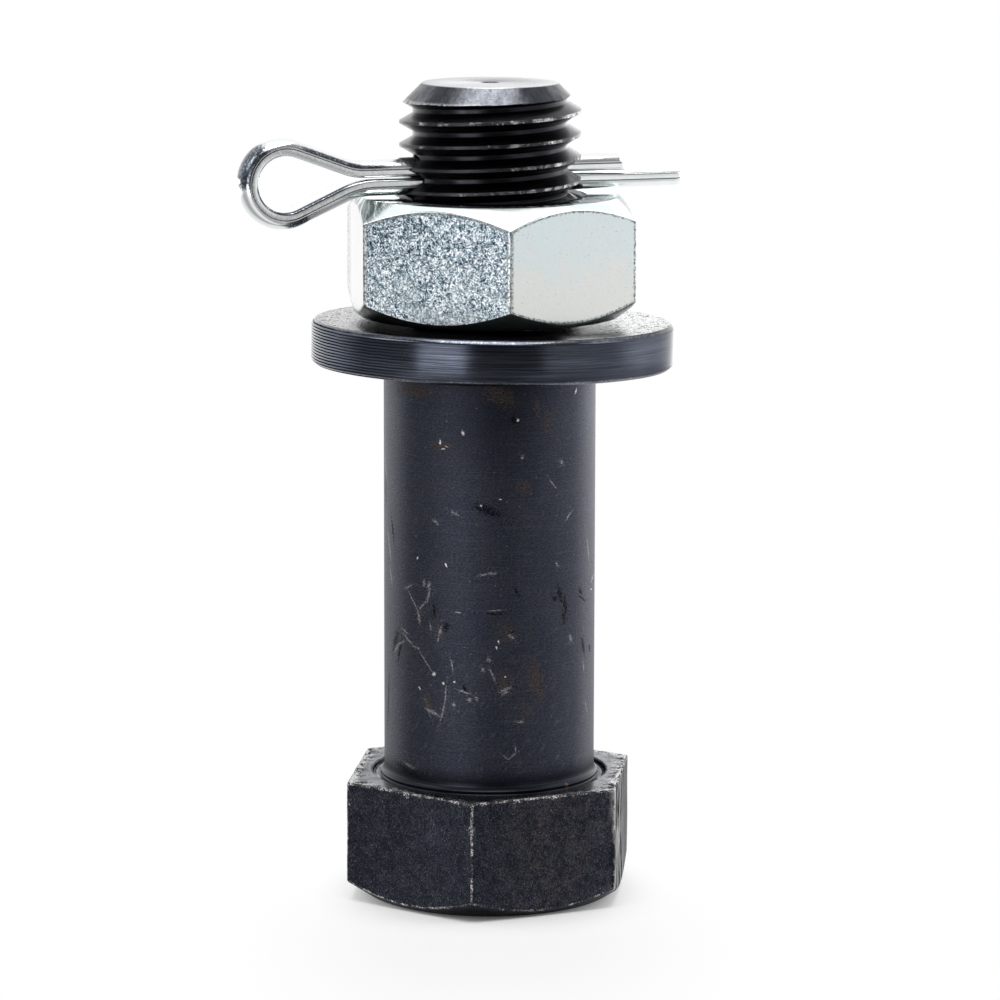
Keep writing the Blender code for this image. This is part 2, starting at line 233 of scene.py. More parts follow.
class SurfaceGraph(Graph):
    """A material's graph, with patterns on the object's own coordinates in millimetres."""

    # Stands in for an empty table of marks, far below the object.
    NO_MARK: ClassVar[Mark] = (0.0, -90.0, 0.1, 0.1, 0.0)

    def __init__(self, name: str) -> None:
        """Make the material and its shader."""
        self.material = bpy.data.materials.new(name)
        self.material.use_nodes = True
        super().__init__(self.material.node_tree)
        self.shader = self.node("ShaderNodeBsdfPrincipled")
        self.output = self.node("ShaderNodeOutputMaterial")
        self.tree.links.new(self.shader.outputs[0], self.output.inputs["Surface"])
        self.place = self.term("ShaderNodeTexCoord", "Object", {})

    def laid(self, turn: float = 0.0) -> Term:
        """Object coordinates in millimetres, turned round the axis."""
        return self.turned(self.place, turn, 1 / MM)

    def seated(self, seat: Matrix) -> Term:
        """Coordinates in millimetres on a piece that lies shifted and tilted."""
        inputs = {0: self.place, "Location": seat.translation, "Rotation": seat.to_euler(), "Scale": (MM, MM, MM)}
        return self.term("ShaderNodeMapping", 0, inputs, vector_type="TEXTURE")

    def scaled(self, vector: Term, scale: Sequence[float], turn: float = 0.0) -> Term:
        """A vector along and across a direction, with each part stretched."""
        inputs = {0: vector, "Rotation": (0.0, 0.0, turn), "Scale": [1 / part for part in scale]}
        return self.term("ShaderNodeMapping", 0, inputs, vector_type="TEXTURE")

    def away_from(self, vector: Term, centre: Sequence[float]) -> Term:
        """Distance from a place."""
        return self.term("ShaderNodeVectorMath", "Value", {0: vector, 1: centre}, operation="DISTANCE")

    def clouds(self, vector: Term, scale: float, detail: float = 2.0, rough: float = 0.5,
               warp: float = 0.0) -> Term:
        """Smooth noise from 0 to 1.

        Args:
            vector: where it is read.
            scale: features per unit.
            detail: octaves.
            rough: weight of the finer octaves.
            warp: distortion.

        Returns:
            The noise.
        """
        return self.term("ShaderNodeTexNoise", "Fac", {
            "Vector": vector, "Scale": scale, "Detail": detail, "Roughness": rough, "Distortion": warp})

    def cells(self, vector: Term, scale: float) -> tuple[Term, Term]:
        """Crystal-like cells.

        Args:
            vector: where they are read.
            scale: cells per unit.

        Returns:
            A random number for each cell, and the distance to its middle.
        """
        colour = self.term("ShaderNodeTexVoronoi", "Color", {"Vector": vector, "Scale": scale})
        return self.split(colour)[0], Term(self, colour.socket.node.outputs["Distance"])

    def blend(self, share: "Term | float", first: Any, second: Any) -> Term:
        """A colour between two.

        Args:
            share: 0 gives the first, 1 the second.
            first: colour or term.
            second: colour or term.

        Returns:
            The colour.
        """
        first, second = (value if isinstance(value, Term) else (*value, 1.0) for value in (first, second))
        return self.term("ShaderNodeMix", 2, {0: share, 6: first, 7: second}, data_type="RGBA")

    def coats(self, colour: Any, *layers: "tuple[Term | float, Any]") -> Term:
        """Coats of colour, one over the other.

        Args:
            colour: the lowest colour or term.
            layers: for each coat its share, from 0 to 1, and its colour or term.

        Returns:
            What shows on top.
        """
        for share, tone in layers:
            colour = self.blend(share, colour, tone)
        return colour

    def stored(self, name: str) -> Term:
        """A number that the mesh carries."""
        return self.term("ShaderNodeAttribute", "Fac", {}, attribute_name=name)

    def relief(self, height_mm: Term, strength: float = 1.0) -> Term:
        """A bumped normal from a height in millimetres."""
        return self.term("ShaderNodeBump", "Normal", {"Strength": strength, "Distance": MM, "Height": height_mm})

    def marks(self, vector: Term, table: Sequence[Mark], rag: Term) -> Term:
        """How near the closest of some marks is: 0 at its middle, 1 at its edge.

        Args:
            vector: flat coordinates in millimetres.
            table: for each mark its place along and up, half length, half width and angle.
            rag: noise that makes the edges uneven.

        Returns:
            The distance in half widths.
        """
        spots = []
        for along, up, half_length, half_width, angle in table or (self.NO_MARK,):
            inputs = {0: vector, "Location": (along, up, 0.0), "Rotation": (0.0, 0.0, math.radians(angle)),
                      "Scale": (half_length, half_width, 1.0)}
            spot = self.term("ShaderNodeMapping", 0, inputs, vector_type="TEXTURE")
            spots.append(self.term("ShaderNodeVectorMath", "Value", {0: spot}, operation="LENGTH"))
        return reduce(Term.least, spots) + rag

    def finish(self, colour: Any, roughness: "Term | float", metallic: "Term | float" = 1.0,
               normal: Term | None = None, grazing: Term | None = None) -> bpy.types.Material:
        """Set the shader's sockets and give the material back.

        Args:
            colour: base colour or term.
            roughness: roughness or term.
            metallic: metallic share or term.
            normal: bumped normal.
            grazing: how much of its shine a metal keeps where it is seen aslant, from 0 to 1.

        Returns:
            The material.
        """
        self.feed(self.shader.inputs["Base Color"], colour if isinstance(colour, Term) else (*colour, 1.0))
        self.feed(self.shader.inputs["Roughness"], roughness)
        self.feed(self.shader.inputs["Metallic"], metallic)
        if grazing:
            self.feed(self.shader.inputs["Specular Tint"], self.join(grazing, grazing, grazing))
        if normal:
            self.feed(self.shader.inputs["Normal"], normal)
        return self.material


class ShapeGraph(Graph):
    """A Geometry Nodes tree with named sizes, which ends in real geometry with its material."""

    def __init__(self, name: str) -> None:
        """Start a tree that takes a geometry and gives one."""
        super().__init__(bpy.data.node_groups.new(name, "GeometryNodeTree"))
        self.tree.interface.new_socket("Geometry", in_out="OUTPUT", socket_type="NodeSocketGeometry")
        self.tree.interface.new_socket("Geometry", in_out="INPUT", socket_type="NodeSocketGeometry")
        self.entry = self.node("NodeGroupInput")
        self.values: dict[str, Any] = {}

    def size(self, name: str, value: Any, kind: str = "Float") -> Term:
        """A named input of the tree.

        Args:
            name: its name.
            value: what the modifier sets it to.
            kind: Float, Int, Bool or Material.

        Returns:
            The input.
        """
        socket = self.tree.interface.new_socket(name, in_out="INPUT", socket_type="NodeSocket" + kind)
        self.values[socket.identifier] = value
        found = next(output for output in self.entry.outputs if output.identifier == socket.identifier)
        return Term(self, found)

    def step(self, kind: str, geometry: bpy.types.Node, socket: str = "Geometry", **inputs: Any) -> bpy.types.Node:
        """A node that takes a geometry.

        Args:
            kind: Blender's name of the node type.
            geometry: the node whose first output it takes.
            socket: name of its geometry input.
            inputs: other inputs, with _ for a blank.

        Returns:
            The node.
        """
        made = self.node(kind)
        self.tree.links.new(geometry.outputs[0], made.inputs[socket])
        for name, value in inputs.items():
            self.feed(made.inputs[name.replace("_", " ")], value)
        return made

    def close(self, geometry: bpy.types.Node, material: Term) -> None:
        """End the tree in real geometry with its material.

        Args:
            geometry: the node whose first output it takes.
            material: the named input that holds the material.
        """
        real = self.step("GeometryNodeRealizeInstances", geometry)
        dressed = self.step("GeometryNodeSetMaterial", real, Material=material)
        output = self.node("NodeGroupOutput")
        self.tree.links.new(dressed.outputs[0], output.inputs[0])

    def grow(self, source: bpy.types.Object) -> bpy.types.Mesh:
        """Run the tree on an object and take the plain mesh that comes out.

        Args:
            source: object that carries the modifier; it is removed afterwards.

        Returns:
            The mesh.
        """
        modifier = source.modifiers.new(self.tree.name, "NODES")
        modifier.node_group = self.tree
        for identifier, value in self.values.items():
            modifier[identifier] = value
        mesh = plain_mesh(source)
        bpy.data.objects.remove(source, do_unlink=True)
        return mesh


def plain_mesh(source: bpy.types.Object) -> bpy.types.Mesh:
    """The mesh that an object's modifiers give.

    Args:
        source: object with modifiers.

    Returns:
        A mesh of its own, with its attributes and materials.
    """
    bpy.context.view_layer.update()
    graph = bpy.context.evaluated_depsgraph_get()
    return bpy.data.meshes.new_from_object(source.evaluated_get(graph), preserve_all_data_layers=True,
                                           depsgraph=graph)


def show(name: str, data: Any) -> bpy.types.Object:
    """An object on a mesh, curve, lamp or camera, in the scene.

    Args:
        name: its name.
        data: its data.

    Returns:
        The object.
    """
    made = bpy.data.objects.new(name, data)
    bpy.context.scene.collection.objects.link(made)
    return made


# ---------------------------------------------------------------- skins built ring by ring


def circle(count: int) -> list[float]:
    """Azimuths of points spread evenly round the axis."""
    return [math.tau * index / count for index in range(count)]


class Shell:
    """A closed skin that is built ring by ring round the axis, with worn edges stored on it."""

    WEAR = "edge_gap_mm"
    FAR_MM = 3.0

    def __init__(self) -> None:
        """Start empty."""
        self.points: list[Vector] = []
        self.gaps: list[float] = []
        self.faces: list[tuple[int, ...]] = []
        self.slots: list[int] = []

    def point(self, place: Vector, gap: float = FAR_MM) -> int:
        """A point.

        Args:
            place: where it lies.
            gap: distance from the nearest worn edge in millimetres.

        Returns:
            Its number.
        """
        self.points.append(place)
        self.gaps.append(gap)
        return len(self.points) - 1

    def ring(self, angles: Sequence[float], radii: "Sequence[float] | float",
             heights: "Sequence[float] | float", gaps: "Sequence[float] | float" = FAR_MM) -> Ring:
        """A ring of points.

        Args:
            angles: azimuth of each point.
            radii: radius of all points or of each.
            heights: height of all points or of each.
            gaps: distance from the nearest worn edge in millimetres.

        Returns:
            The points' numbers.
        """
        made = []
        for index, angle in enumerate(angles):
            radius, height, gap = (value if isinstance(value, (int, float)) else value[index]
                                   for value in (radii, heights, gaps))
            made.append(self.point(Vector((radius * math.cos(angle), radius * math.sin(angle), height)), gap))
        return made

    def azimuths(self, ring: Ring) -> list[float]:
        """Azimuth of each point of a ring, rising from the first."""
        raw = [math.atan2(self.points[i].y, self.points[i].x) for i in ring]
        return [(angle - raw[0]) % math.tau + raw[0] % math.tau for angle in raw]

    def strip(self, last: Ring, angles: Sequence[float], outline: Sequence[tuple[float, float, int]]) -> Ring:
        """Rings along an outline, each joined to the one before.

        Args:
            last: the ring to start from.
            angles: azimuth of each point of the new rings.
            outline: radius, height and material slot of each new ring.

        Returns:
            The last ring.
        """
        for radius, height, slot in outline:
            ring = self.ring(angles, radius, height)
            self.skin(last, ring, slot)
            last = ring
        return last

    def skin(self, first: Ring, second: Ring, slot: int) -> None:
        """Faces between two rings, which face outwards where the second lies above the first.

        Args:
            first: a ring.
            second: the next ring along the outline; it may have another number of points.
            slot: material slot of the faces.
        """
        if len(first) == len(second):
            for index in range(len(first)):
                after = (index + 1) % len(first)
                self.add((first[index], first[after], second[after], second[index]), slot)
            return
        start = self.azimuths(first)
        shift = min(range(len(second)), key=lambda i: abs(math.remainder(
            math.atan2(self.points[second[i]].y, self.points[second[i]].x) - start[0], math.tau)))
        second = second[shift:] + second[:shift]
        raw = [math.atan2(self.points[i].y, self.points[i].x) for i in second]
        base = start[0] + math.remainder(raw[0] - start[0], math.tau)
        other = [base + (angle - raw[0]) % math.tau for angle in raw]
        start.append(start[0] + math.tau)
        other.append(other[0] + math.tau)
        here, there = 0, 0
        while here < len(first) or there < len(second):
            if there == len(second) or (here < len(first) and start[here + 1] <= other[there + 1]):
                self.add((first[here], first[(here + 1) % len(first)], second[there % len(second)]), slot)
                here += 1
            else:
                self.add((first[here % len(first)], second[(there + 1) % len(second)], second[there]), slot)
                there += 1

    def add(self, face: tuple[int, ...], slot: int) -> None:
        """One face."""
        self.faces.append(face)
        self.slots.append(slot)

    def cap(self, ring: Ring, height: float, slot: int, up: bool) -> None:
        """Close a ring by a point on the axis.

        Args:
            ring: the ring.
            height: height of the point.
            slot: material slot of the faces.
            up: True where the faces look up.
        """
        middle = self.point(Vector((0.0, 0.0, height)))
        for index in range(len(ring)):
            pair = (ring[index], ring[(index + 1) % len(ring)])
            self.add((*(pair if up else pair[::-1]), middle), slot)

    def absorb(self, mesh: bpy.types.Mesh, slot: int) -> Callable[[float], Ring]:
        """Take in a mesh with open rims.

        Args:
            mesh: the mesh, which is removed.
            slot: material slot of its faces.

        Returns:
            A function that gives the rim at a height, by rising azimuth.
        """
        offset = len(self.points)
        for vertex in mesh.vertices:
            self.point(vertex.co.copy())
        for polygon in mesh.polygons:
            self.add(tuple(offset + i for i in polygon.vertices), slot)
        bpy.data.meshes.remove(mesh)
        taken = range(offset, len(self.points))

        def rim(height: float) -> Ring:
            """The points at a height, by rising azimuth."""
            found = [i for i in taken if abs(self.points[i].z - height) < SAME_LEVEL]
            return sorted(found, key=lambda i: math.atan2(self.points[i].y, self.points[i].x) % math.tau)

        return rim

    def object(self, name: str, finishes: Sequence[bpy.types.Material],
               seat: Matrix | None = None) -> bpy.types.Object:
        """The finished skin as an object.

        Args:
            name: its name.
            finishes: materials of the slots.
            seat: where the piece lies, baked into its mesh.

        Returns:
            The object.
        """
        mesh = bpy.data.meshes.new(name)
        mesh.from_pydata([tuple(point) for point in self.points], [], self.faces)
        mesh.polygons.foreach_set("material_index", self.slots)
        mesh.attributes.new(self.WEAR, "FLOAT", "POINT").data.foreach_set("value", self.gaps)
        for finish in finishes:
            mesh.materials.append(finish)
        body = bmesh.new()
        body.from_mesh(mesh)
        bmesh.ops.remove_doubles(body, verts=body.verts, dist=WELD)
        bmesh.ops.dissolve_degenerate(body, edges=body.edges, dist=WELD / 10)
        bmesh.ops.recalc_face_normals(body, faces=body.faces)
        body.to_mesh(mesh)
        body.free()
        if seat:
            mesh.transform(seat)
        return show(name, mesh)


def smooth_shade(piece: bpy.types.Object, angle_degrees: float) -> None:
    """Shade a piece smooth, except across its sharper edges.

    Args:
        piece: the piece.
        angle_degrees: edges sharper than this stay sharp.
    """
    piece.data.shade_smooth()
    piece.data.set_sharp_from_angle(angle=math.radians(angle_degrees))
    piece.data.update()


def hand_over(piece: bpy.types.Object, node: str) -> None:
    """Let a finished piece stand for its solid.

    Args:
        piece: the piece.
        node: the solid that it replaces.
    """
    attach(piece, BODY)
    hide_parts(node)
    triangles = sum(len(polygon.vertices) - 2 for polygon in piece.data.polygons)
    log.info("%s replaces %s: %d triangles, %d finishes", piece.name, node, triangles,
             len(piece.data.materials))


# ---------------------------------------------------------------- rules for main shapes


class Side(Enum):
    """Which side of a thread's surface is steel."""

    ROD = "rod"
    BORE = "bore"


@dataclass
class ScrewThread:
    """A right-hand thread as one helical surface, made by Geometry Nodes.

    The radius is a rule of height and azimuth: crest, flanks and rounded root, kept between
    the cones at the ends.
    """

    side: Side
    crest_radius: float
    depth: float
    half_crest: float
    bottom: float
    top: float
    crest_level: float = 0.09805
    pitch: float = 0.003
    flank: float = math.radians(30)
    softness: float = 0.00007
    root_softness: float = 0.0002
    end_radius: float = 1.0
    relief_radius: float = 1.0
    relief_top: float = 0.0
    entry_radius: float = 0.0
    end_softness: float = 0.00008
    weld: float = 1e-6
    columns: int = 144
    rows_per_turn: int = 32

    def mesh(self, finish: bpy.types.Material) -> bpy.types.Mesh:
        """The threaded surface, open at both ends.

        Args:
            finish: its material.

        Returns:
            The mesh; its rims are plain circles.
        """
        graph = ShapeGraph("screw_thread_" + self.side.value)
        columns = graph.size("Columns", self.columns, "Int")
        rows = graph.size("Rows per Turn", self.rows_per_turn, "Int")
        pitch = graph.size("Pitch", self.pitch)
        crest = graph.size("Crest Radius", self.crest_radius)
        depth = graph.size("Depth", self.depth)
        half_crest = graph.size("Half Crest Width", self.half_crest)
        cot_flank = graph.size("Flank Steepness", 1 / math.tan(self.flank))
        softness = graph.size("Crest Softness", self.softness)
        root_softness = graph.size("Root Softness", self.root_softness)
        level = graph.size("Crest Level", self.crest_level)
        bottom = graph.size("Bottom", self.bottom)
        top = graph.size("Top", self.top)
        end_radius = graph.size("End Radius", self.end_radius)
        relief_radius = graph.size("Relief Radius", self.relief_radius)
        relief_top = graph.size("Relief Top", self.relief_top)
        entry_radius = graph.size("Entry Radius", self.entry_radius)
        inside = graph.size("Inside", self.side is Side.BORE, "Bool")
        material = graph.size("Finish", finish, "Material")
        below = graph.math("CEIL", (level - bottom) / pitch) + 1.0
        start = level - below * pitch
        turns = graph.math("CEIL", (top - start) / pitch) + 1.0
        grid = graph.node("GeometryNodeMeshGrid")
        grid.inputs["Size X"].default_value = 1.0
        grid.inputs["Size Y"].default_value = 1.0
        graph.feed(grid.inputs["Vertices X"], columns + 1.0)
        graph.feed(grid.inputs["Vertices Y"], turns * rows + 1.0)
        along, up, _ = graph.split(graph.term("GeometryNodeInputPosition", 0, {}))
        share = along + 0.5
        height = start + (up + 0.5) * turns * pitch + share * pitch
        height = height.most(bottom).least(top)
        # The whole turns added here keep the number under FRACT above zero.
        phase = graph.math("FRACT", (height - level) / pitch - share + 1000.5) - 0.5
        away = graph.math("ABSOLUTE", phase) * pitch
        drop = (away - half_crest) * cot_flank
        drop = graph.math("SMOOTH_MAX", drop, 0.0, softness)
        drop = graph.math("SMOOTH_MIN", drop, depth, root_softness)
        radius = crest - drop
        ceiling = (end_radius + (top - height)).least(relief_radius + (height - relief_top).most(0.0))
        radius = graph.math("SMOOTH_MIN", radius, ceiling, self.end_softness)
        floor = (entry_radius - (top - height)).most(entry_radius - (height - bottom))
        radius = graph.math("SMOOTH_MAX", radius, floor, self.end_softness)
        angle = share * math.tau
        place = graph.join(radius * graph.math("COSINE", angle), radius * graph.math("SINE", angle), height)
        shaped = graph.step("GeometryNodeSetPosition", grid, Position=place)
        welded = graph.step("GeometryNodeMergeByDistance", shaped, Distance=self.weld)
        flip = graph.step("GeometryNodeFlipFaces", welded, socket="Mesh", Selection=inside)
        graph.close(flip, material)
        return graph.grow(show(graph.tree.name, bpy.data.meshes.new(graph.tree.name)))


@dataclass
class HexBar:
    """The columns of a six-sided bar: rounded corners, and rows that follow its chamfer arcs."""

    across_flats: float
    corner_turn: float
    corner_round: float
    bottom: float
    top: float
    lower_cone: tuple[float, float] | None
    upper_cone: tuple[float, float] | None
    edge: float = 0.00016
    sway: float = 0.0
    sway_turns: float = 4.0
    sway_length: float = 0.005
    corner_steps: int = 6
    columns_mm: tuple[float, ...] = (0.0, 0.25, 0.6, 1.2, 2.2, 4.0, 6.0, 8.0)
    rows_mm: tuple[float, ...] = (0.3, 0.7, 1.3, 2.4)
    middle_rows: tuple[float, ...] = (0.38, 0.5, 0.62)
    least_column: float = 0.0003

    def columns(self) -> tuple[list[float], list[float], list[float]]:
        """Lay out the columns round the bar.

        Returns:
            Azimuth, wall radius and distance from the nearest corner in mm of each column.
        """
        half = self.across_flats / 2
        middle = (half - self.corner_round) / math.cos(math.pi / 6)
        touch = (half - self.corner_round) * math.tan(math.pi / 6)
        offsets = [touch - step * MM for step in self.columns_mm if touch - step * MM > self.least_column]
        flat = [-value for value in offsets] + [0.0] + offsets[::-1]
        angles, radii, gaps = [], [], []
        for side in range(6):
            centre = self.corner_turn + math.pi / 6 + side * math.pi / 3
            for value in flat:
                angles.append(centre + math.atan2(value, half))
                radii.append(math.hypot(value, half))
                gaps.append(min((touch - abs(value)) / MM, Shell.FAR_MM))
            corner = centre + math.pi / 6
            for step in range(1, self.corner_steps):
                lean = math.pi / 6 * (2 * step / self.corner_steps - 1)
                x = middle + self.corner_round * math.cos(lean)
                y = self.corner_round * math.sin(lean)
                angles.append(corner + math.atan2(y, x))
                radii.append(math.hypot(x, y))
                gaps.append(0.0)
        return angles, radii, gaps

    def rings(self, shell: Shell, wall: int, cone: int) -> tuple[Ring, Ring, list[float]]:
        """Build the bar's side from its bottom face to its top face.

        Args:
            shell: the skin that it is built in.
            wall: material slot of the flats.
            cone: material slot of the chamfers.

        Returns:
            The face ring below, the face ring above and the columns' azimuths.
        """
        angles, radii, corner_gaps = self.columns()
        soft = self.edge
        lower_rise = self.rises(radii, self.lower_cone)
        upper_rise = self.rises(radii, self.upper_cone)
        rows = self.end_rows(radii, lower_rise, self.lower_cone, self.bottom, 1.0, cone)
        steps = [step * MM for step in self.rows_mm]
        low = [self.bottom + rise + soft for rise in lower_rise]
        high = [self.top - rise - soft for rise in upper_rise]
        middles = [[a + (b - a) * part for a, b in zip(low, high)] for part in self.middle_rows]
        levels = [low] + [[z + step for z in low] for step in steps] + middles
        levels += [[z - step for z in high] for step in reversed(steps)] + [high]
        for level in levels:
            gaps = [min(gap, (z - a) / MM, (b - z) / MM, Shell.FAR_MM)
                    for gap, z, a, b in zip(corner_gaps, level, low, high)]
            rows.append((list(radii), level, [max(gap, 0.0) for gap in gaps], wall))
        rows += self.end_rows(radii, upper_rise, self.upper_cone, self.top, -1.0, cone)[::-1]
        made: list[Ring] = []
        for ring_radii, heights, gaps, _ in rows:
            swayed = [radius + self.waver(angle, height)
                      for radius, angle, height in zip(ring_radii, angles, heights)]
            made.append(shell.ring(angles, swayed, heights, gaps))
        for index in range(len(made) - 1):
            slot = cone if cone in (rows[index][3], rows[index + 1][3]) else wall
            shell.skin(made[index], made[index + 1], slot)
        return made[0], made[-1], angles

    def rises(self, radii: Sequence[float], cone: tuple[float, float] | None) -> list[float]:
        """How far from the face the chamfer reaches.

        Args:
            radii: wall radius of each column.
            cone: face radius and angle of the chamfer.

        Returns:
            Its reach at each column.
        """
        if not cone:
            return [0.0] * len(radii)
        face_radius, angle = cone
        return [(radius - face_radius) * math.tan(angle) for radius in radii]

    def end_rows(self, radii: Sequence[float], rise: Sequence[float], cone: tuple[float, float] | None,
                 face: float, away: float, slot: int) -> list[Row]:
        """Rows from a face to the wall, across the chamfer where there is one.

        Args:
            radii: wall radius of each column.
            rise: reach of the chamfer at each column.
            cone: face radius and angle of the chamfer.
            face: level of the face.
            away: 1 at the lower face, -1 at the upper one.
            slot: material slot of the chamfer.

        Returns:
            Radii, heights, edge distances and slot of each row.
        """
        soft, count = self.edge, len(radii)
        if not cone:
            return [([r - soft for r in radii], [face] * count, [0.0] * count, slot),
                    ([r - 0.3 * soft for r in radii], [face + away * 0.3 * soft] * count, [0.0] * count, slot)]
        face_radius, angle = cone
        slope = math.tan(angle)
        return [([face_radius - soft] * count, [face] * count, [0.2] * count, slot),
                ([face_radius + 0.5 * soft] * count, [face + away * 0.5 * soft * slope] * count,
                 [0.2] * count, slot),
                ([(face_radius + r) / 2 for r in radii], [face + away * value / 2 for value in rise],
                 [min((r - face_radius) / 2 / MM, Shell.FAR_MM) for r in radii], slot),
                ([r - soft for r in radii], [face + away * (value - soft * slope) for value in rise],
                 [0.1] * count, slot),
                ([r - 0.22 * soft for r in radii], [face + away * (value + 0.2 * soft) for value in rise],
                 [0.0] * count, slot)]

    def waver(self, angle: float, height: float) -> float:
        """Slight unevenness of a forged side.

        Args:
            angle: azimuth of the point.
            height: its height.

        Returns:
            How far the side stands out there.
        """
        if not self.sway:
            return 0.0
        turns = self.sway_turns
        place = Vector((math.cos(angle) * turns, math.sin(angle) * turns, height / self.sway_length))
        return self.sway * (noise.noise(place) - 0.5)


@dataclass
class HalfRoundWire:
    """A half-round wire swept along a folded line by Geometry Nodes."""

    ACROSS: ClassVar[str] = "above_flat_mm"

    width: float = 0.0045
    side: float = 0.001
    thickness: float = 0.00235
    squareness: float = 7.0
    steps: int = 56

    def mesh(self, path: Sequence[Place], level: float,
             finish: bpy.types.Material) -> bpy.types.Mesh:
        """The swept wire.

        Args:
            path: the wire's inner line as (along, up, section scale).
            level: height of the pin's axis.
            finish: its material.

        Returns:
            The mesh, closed at both ends.
        """
        curve = bpy.data.curves.new("pin_line", "CURVE")
        curve.dimensions = "3D"
        spline = curve.splines.new("POLY")
        spline.points.add(len(path) - 1)
        for target, (along, up, scale) in zip(spline.points, path):
            target.co = (along, 0.0, up + level, 1.0)
            target.radius = scale
        graph = ShapeGraph("half_round_wire")
        half = graph.size("Half Width", self.width / 2)
        side = graph.size("Side Height", self.side)
        rise = graph.size("Round Back Height", self.thickness - self.side)
        steps = graph.size("Section Steps", self.steps, "Int")
        squareness = graph.size("Squareness", 2 / self.squareness)
        material = graph.size("Finish", finish, "Material")
        circle = graph.node("GeometryNodeCurvePrimitiveCircle")
        graph.feed(circle.inputs["Resolution"], steps)
        circle.inputs["Radius"].default_value = 1.0
        x, y, _ = graph.split(graph.term("GeometryNodeInputPosition", 0, {}))
        above = graph.math("GREATER_THAN", y, -1e-5)
        reach = graph.math("POWER", graph.math("ABSOLUTE", x), squareness) * graph.math("SIGN", x)
        fall = graph.math("POWER", graph.math("ABSOLUTE", y), squareness)
        across = half * (x * above + reach * (1.0 - above))
        upward = side + rise * y * above - side * fall * (1.0 - above)
        kept = graph.node("GeometryNodeStoreNamedAttribute", data_type="FLOAT", domain="POINT")
        graph.tree.links.new(circle.outputs[0], kept.inputs["Geometry"])
        kept.inputs["Name"].default_value = self.ACROSS
        graph.feed(kept.inputs["Value"], upward / MM)
        section = graph.step("GeometryNodeSetPosition", kept, Position=graph.join(across, upward))
        upright = graph.node("GeometryNodeSetCurveNormal", mode="FREE")
        graph.tree.links.new(graph.entry.outputs[0], upright.inputs["Curve"])
        upright.inputs["Normal"].default_value = (0.0, -1.0, 0.0)
        swept = graph.node("GeometryNodeCurveToMesh")
        graph.tree.links.new(upright.outputs[0], swept.inputs["Curve"])
        graph.tree.links.new(section.outputs[0], swept.inputs["Profile Curve"])
        swept.inputs["Fill Caps"].default_value = True
        graph.feed(swept.inputs["Scale"], graph.term("GeometryNodeInputRadius", 0, {}))
        graph.close(swept, material)
        return graph.grow(show("pin_line", curve))


# ---------------------------------------------------------------- finishes

# Marks on the shank, seen from the front: along, up, half length, half width in mm and angle.
BARE_NICKS = (
    (13.04, 68.16, 0.6, 0.24, -114), (3.73, 65.14, 0.3, 0.28, -90), (-6.63, 62.01, 0.55, 0.2, -90),
    (-7.53, 31.37, 0.4, 0.36, -10), (-6.12, 30.25, 0.28, 0.26, -69), (-4.57, 30.58, 0.2, 0.2, -62),
    (-5.76, 45.98, 0.42, 0.2, -70), (-10.23, 46.45, 0.3, 0.2, 50), (-3.44, 63.44, 0.5, 0.26, -71),
    (-1.07, 53.96, 0.32, 0.22, -10), (1.45, 54.81, 0.2, 0.2, -72), (1.23, 36.04, 0.4, 0.14, -81),
    (0.97, 35.32, 0.34, 0.17, -79), (2.16, 31.38, 0.18, 0.18, -64), (-9.9, 29.2, 0.5, 0.14, -51),
    (-6.2, 61.2, 0.5, 0.1, 8), (-5.6, 61.5, 0.45, 0.08, -20), (18.0, 41.13, 0.4, 0.16, -24),
    (18.74, 42.47, 1.2, 0.1, -156),
)
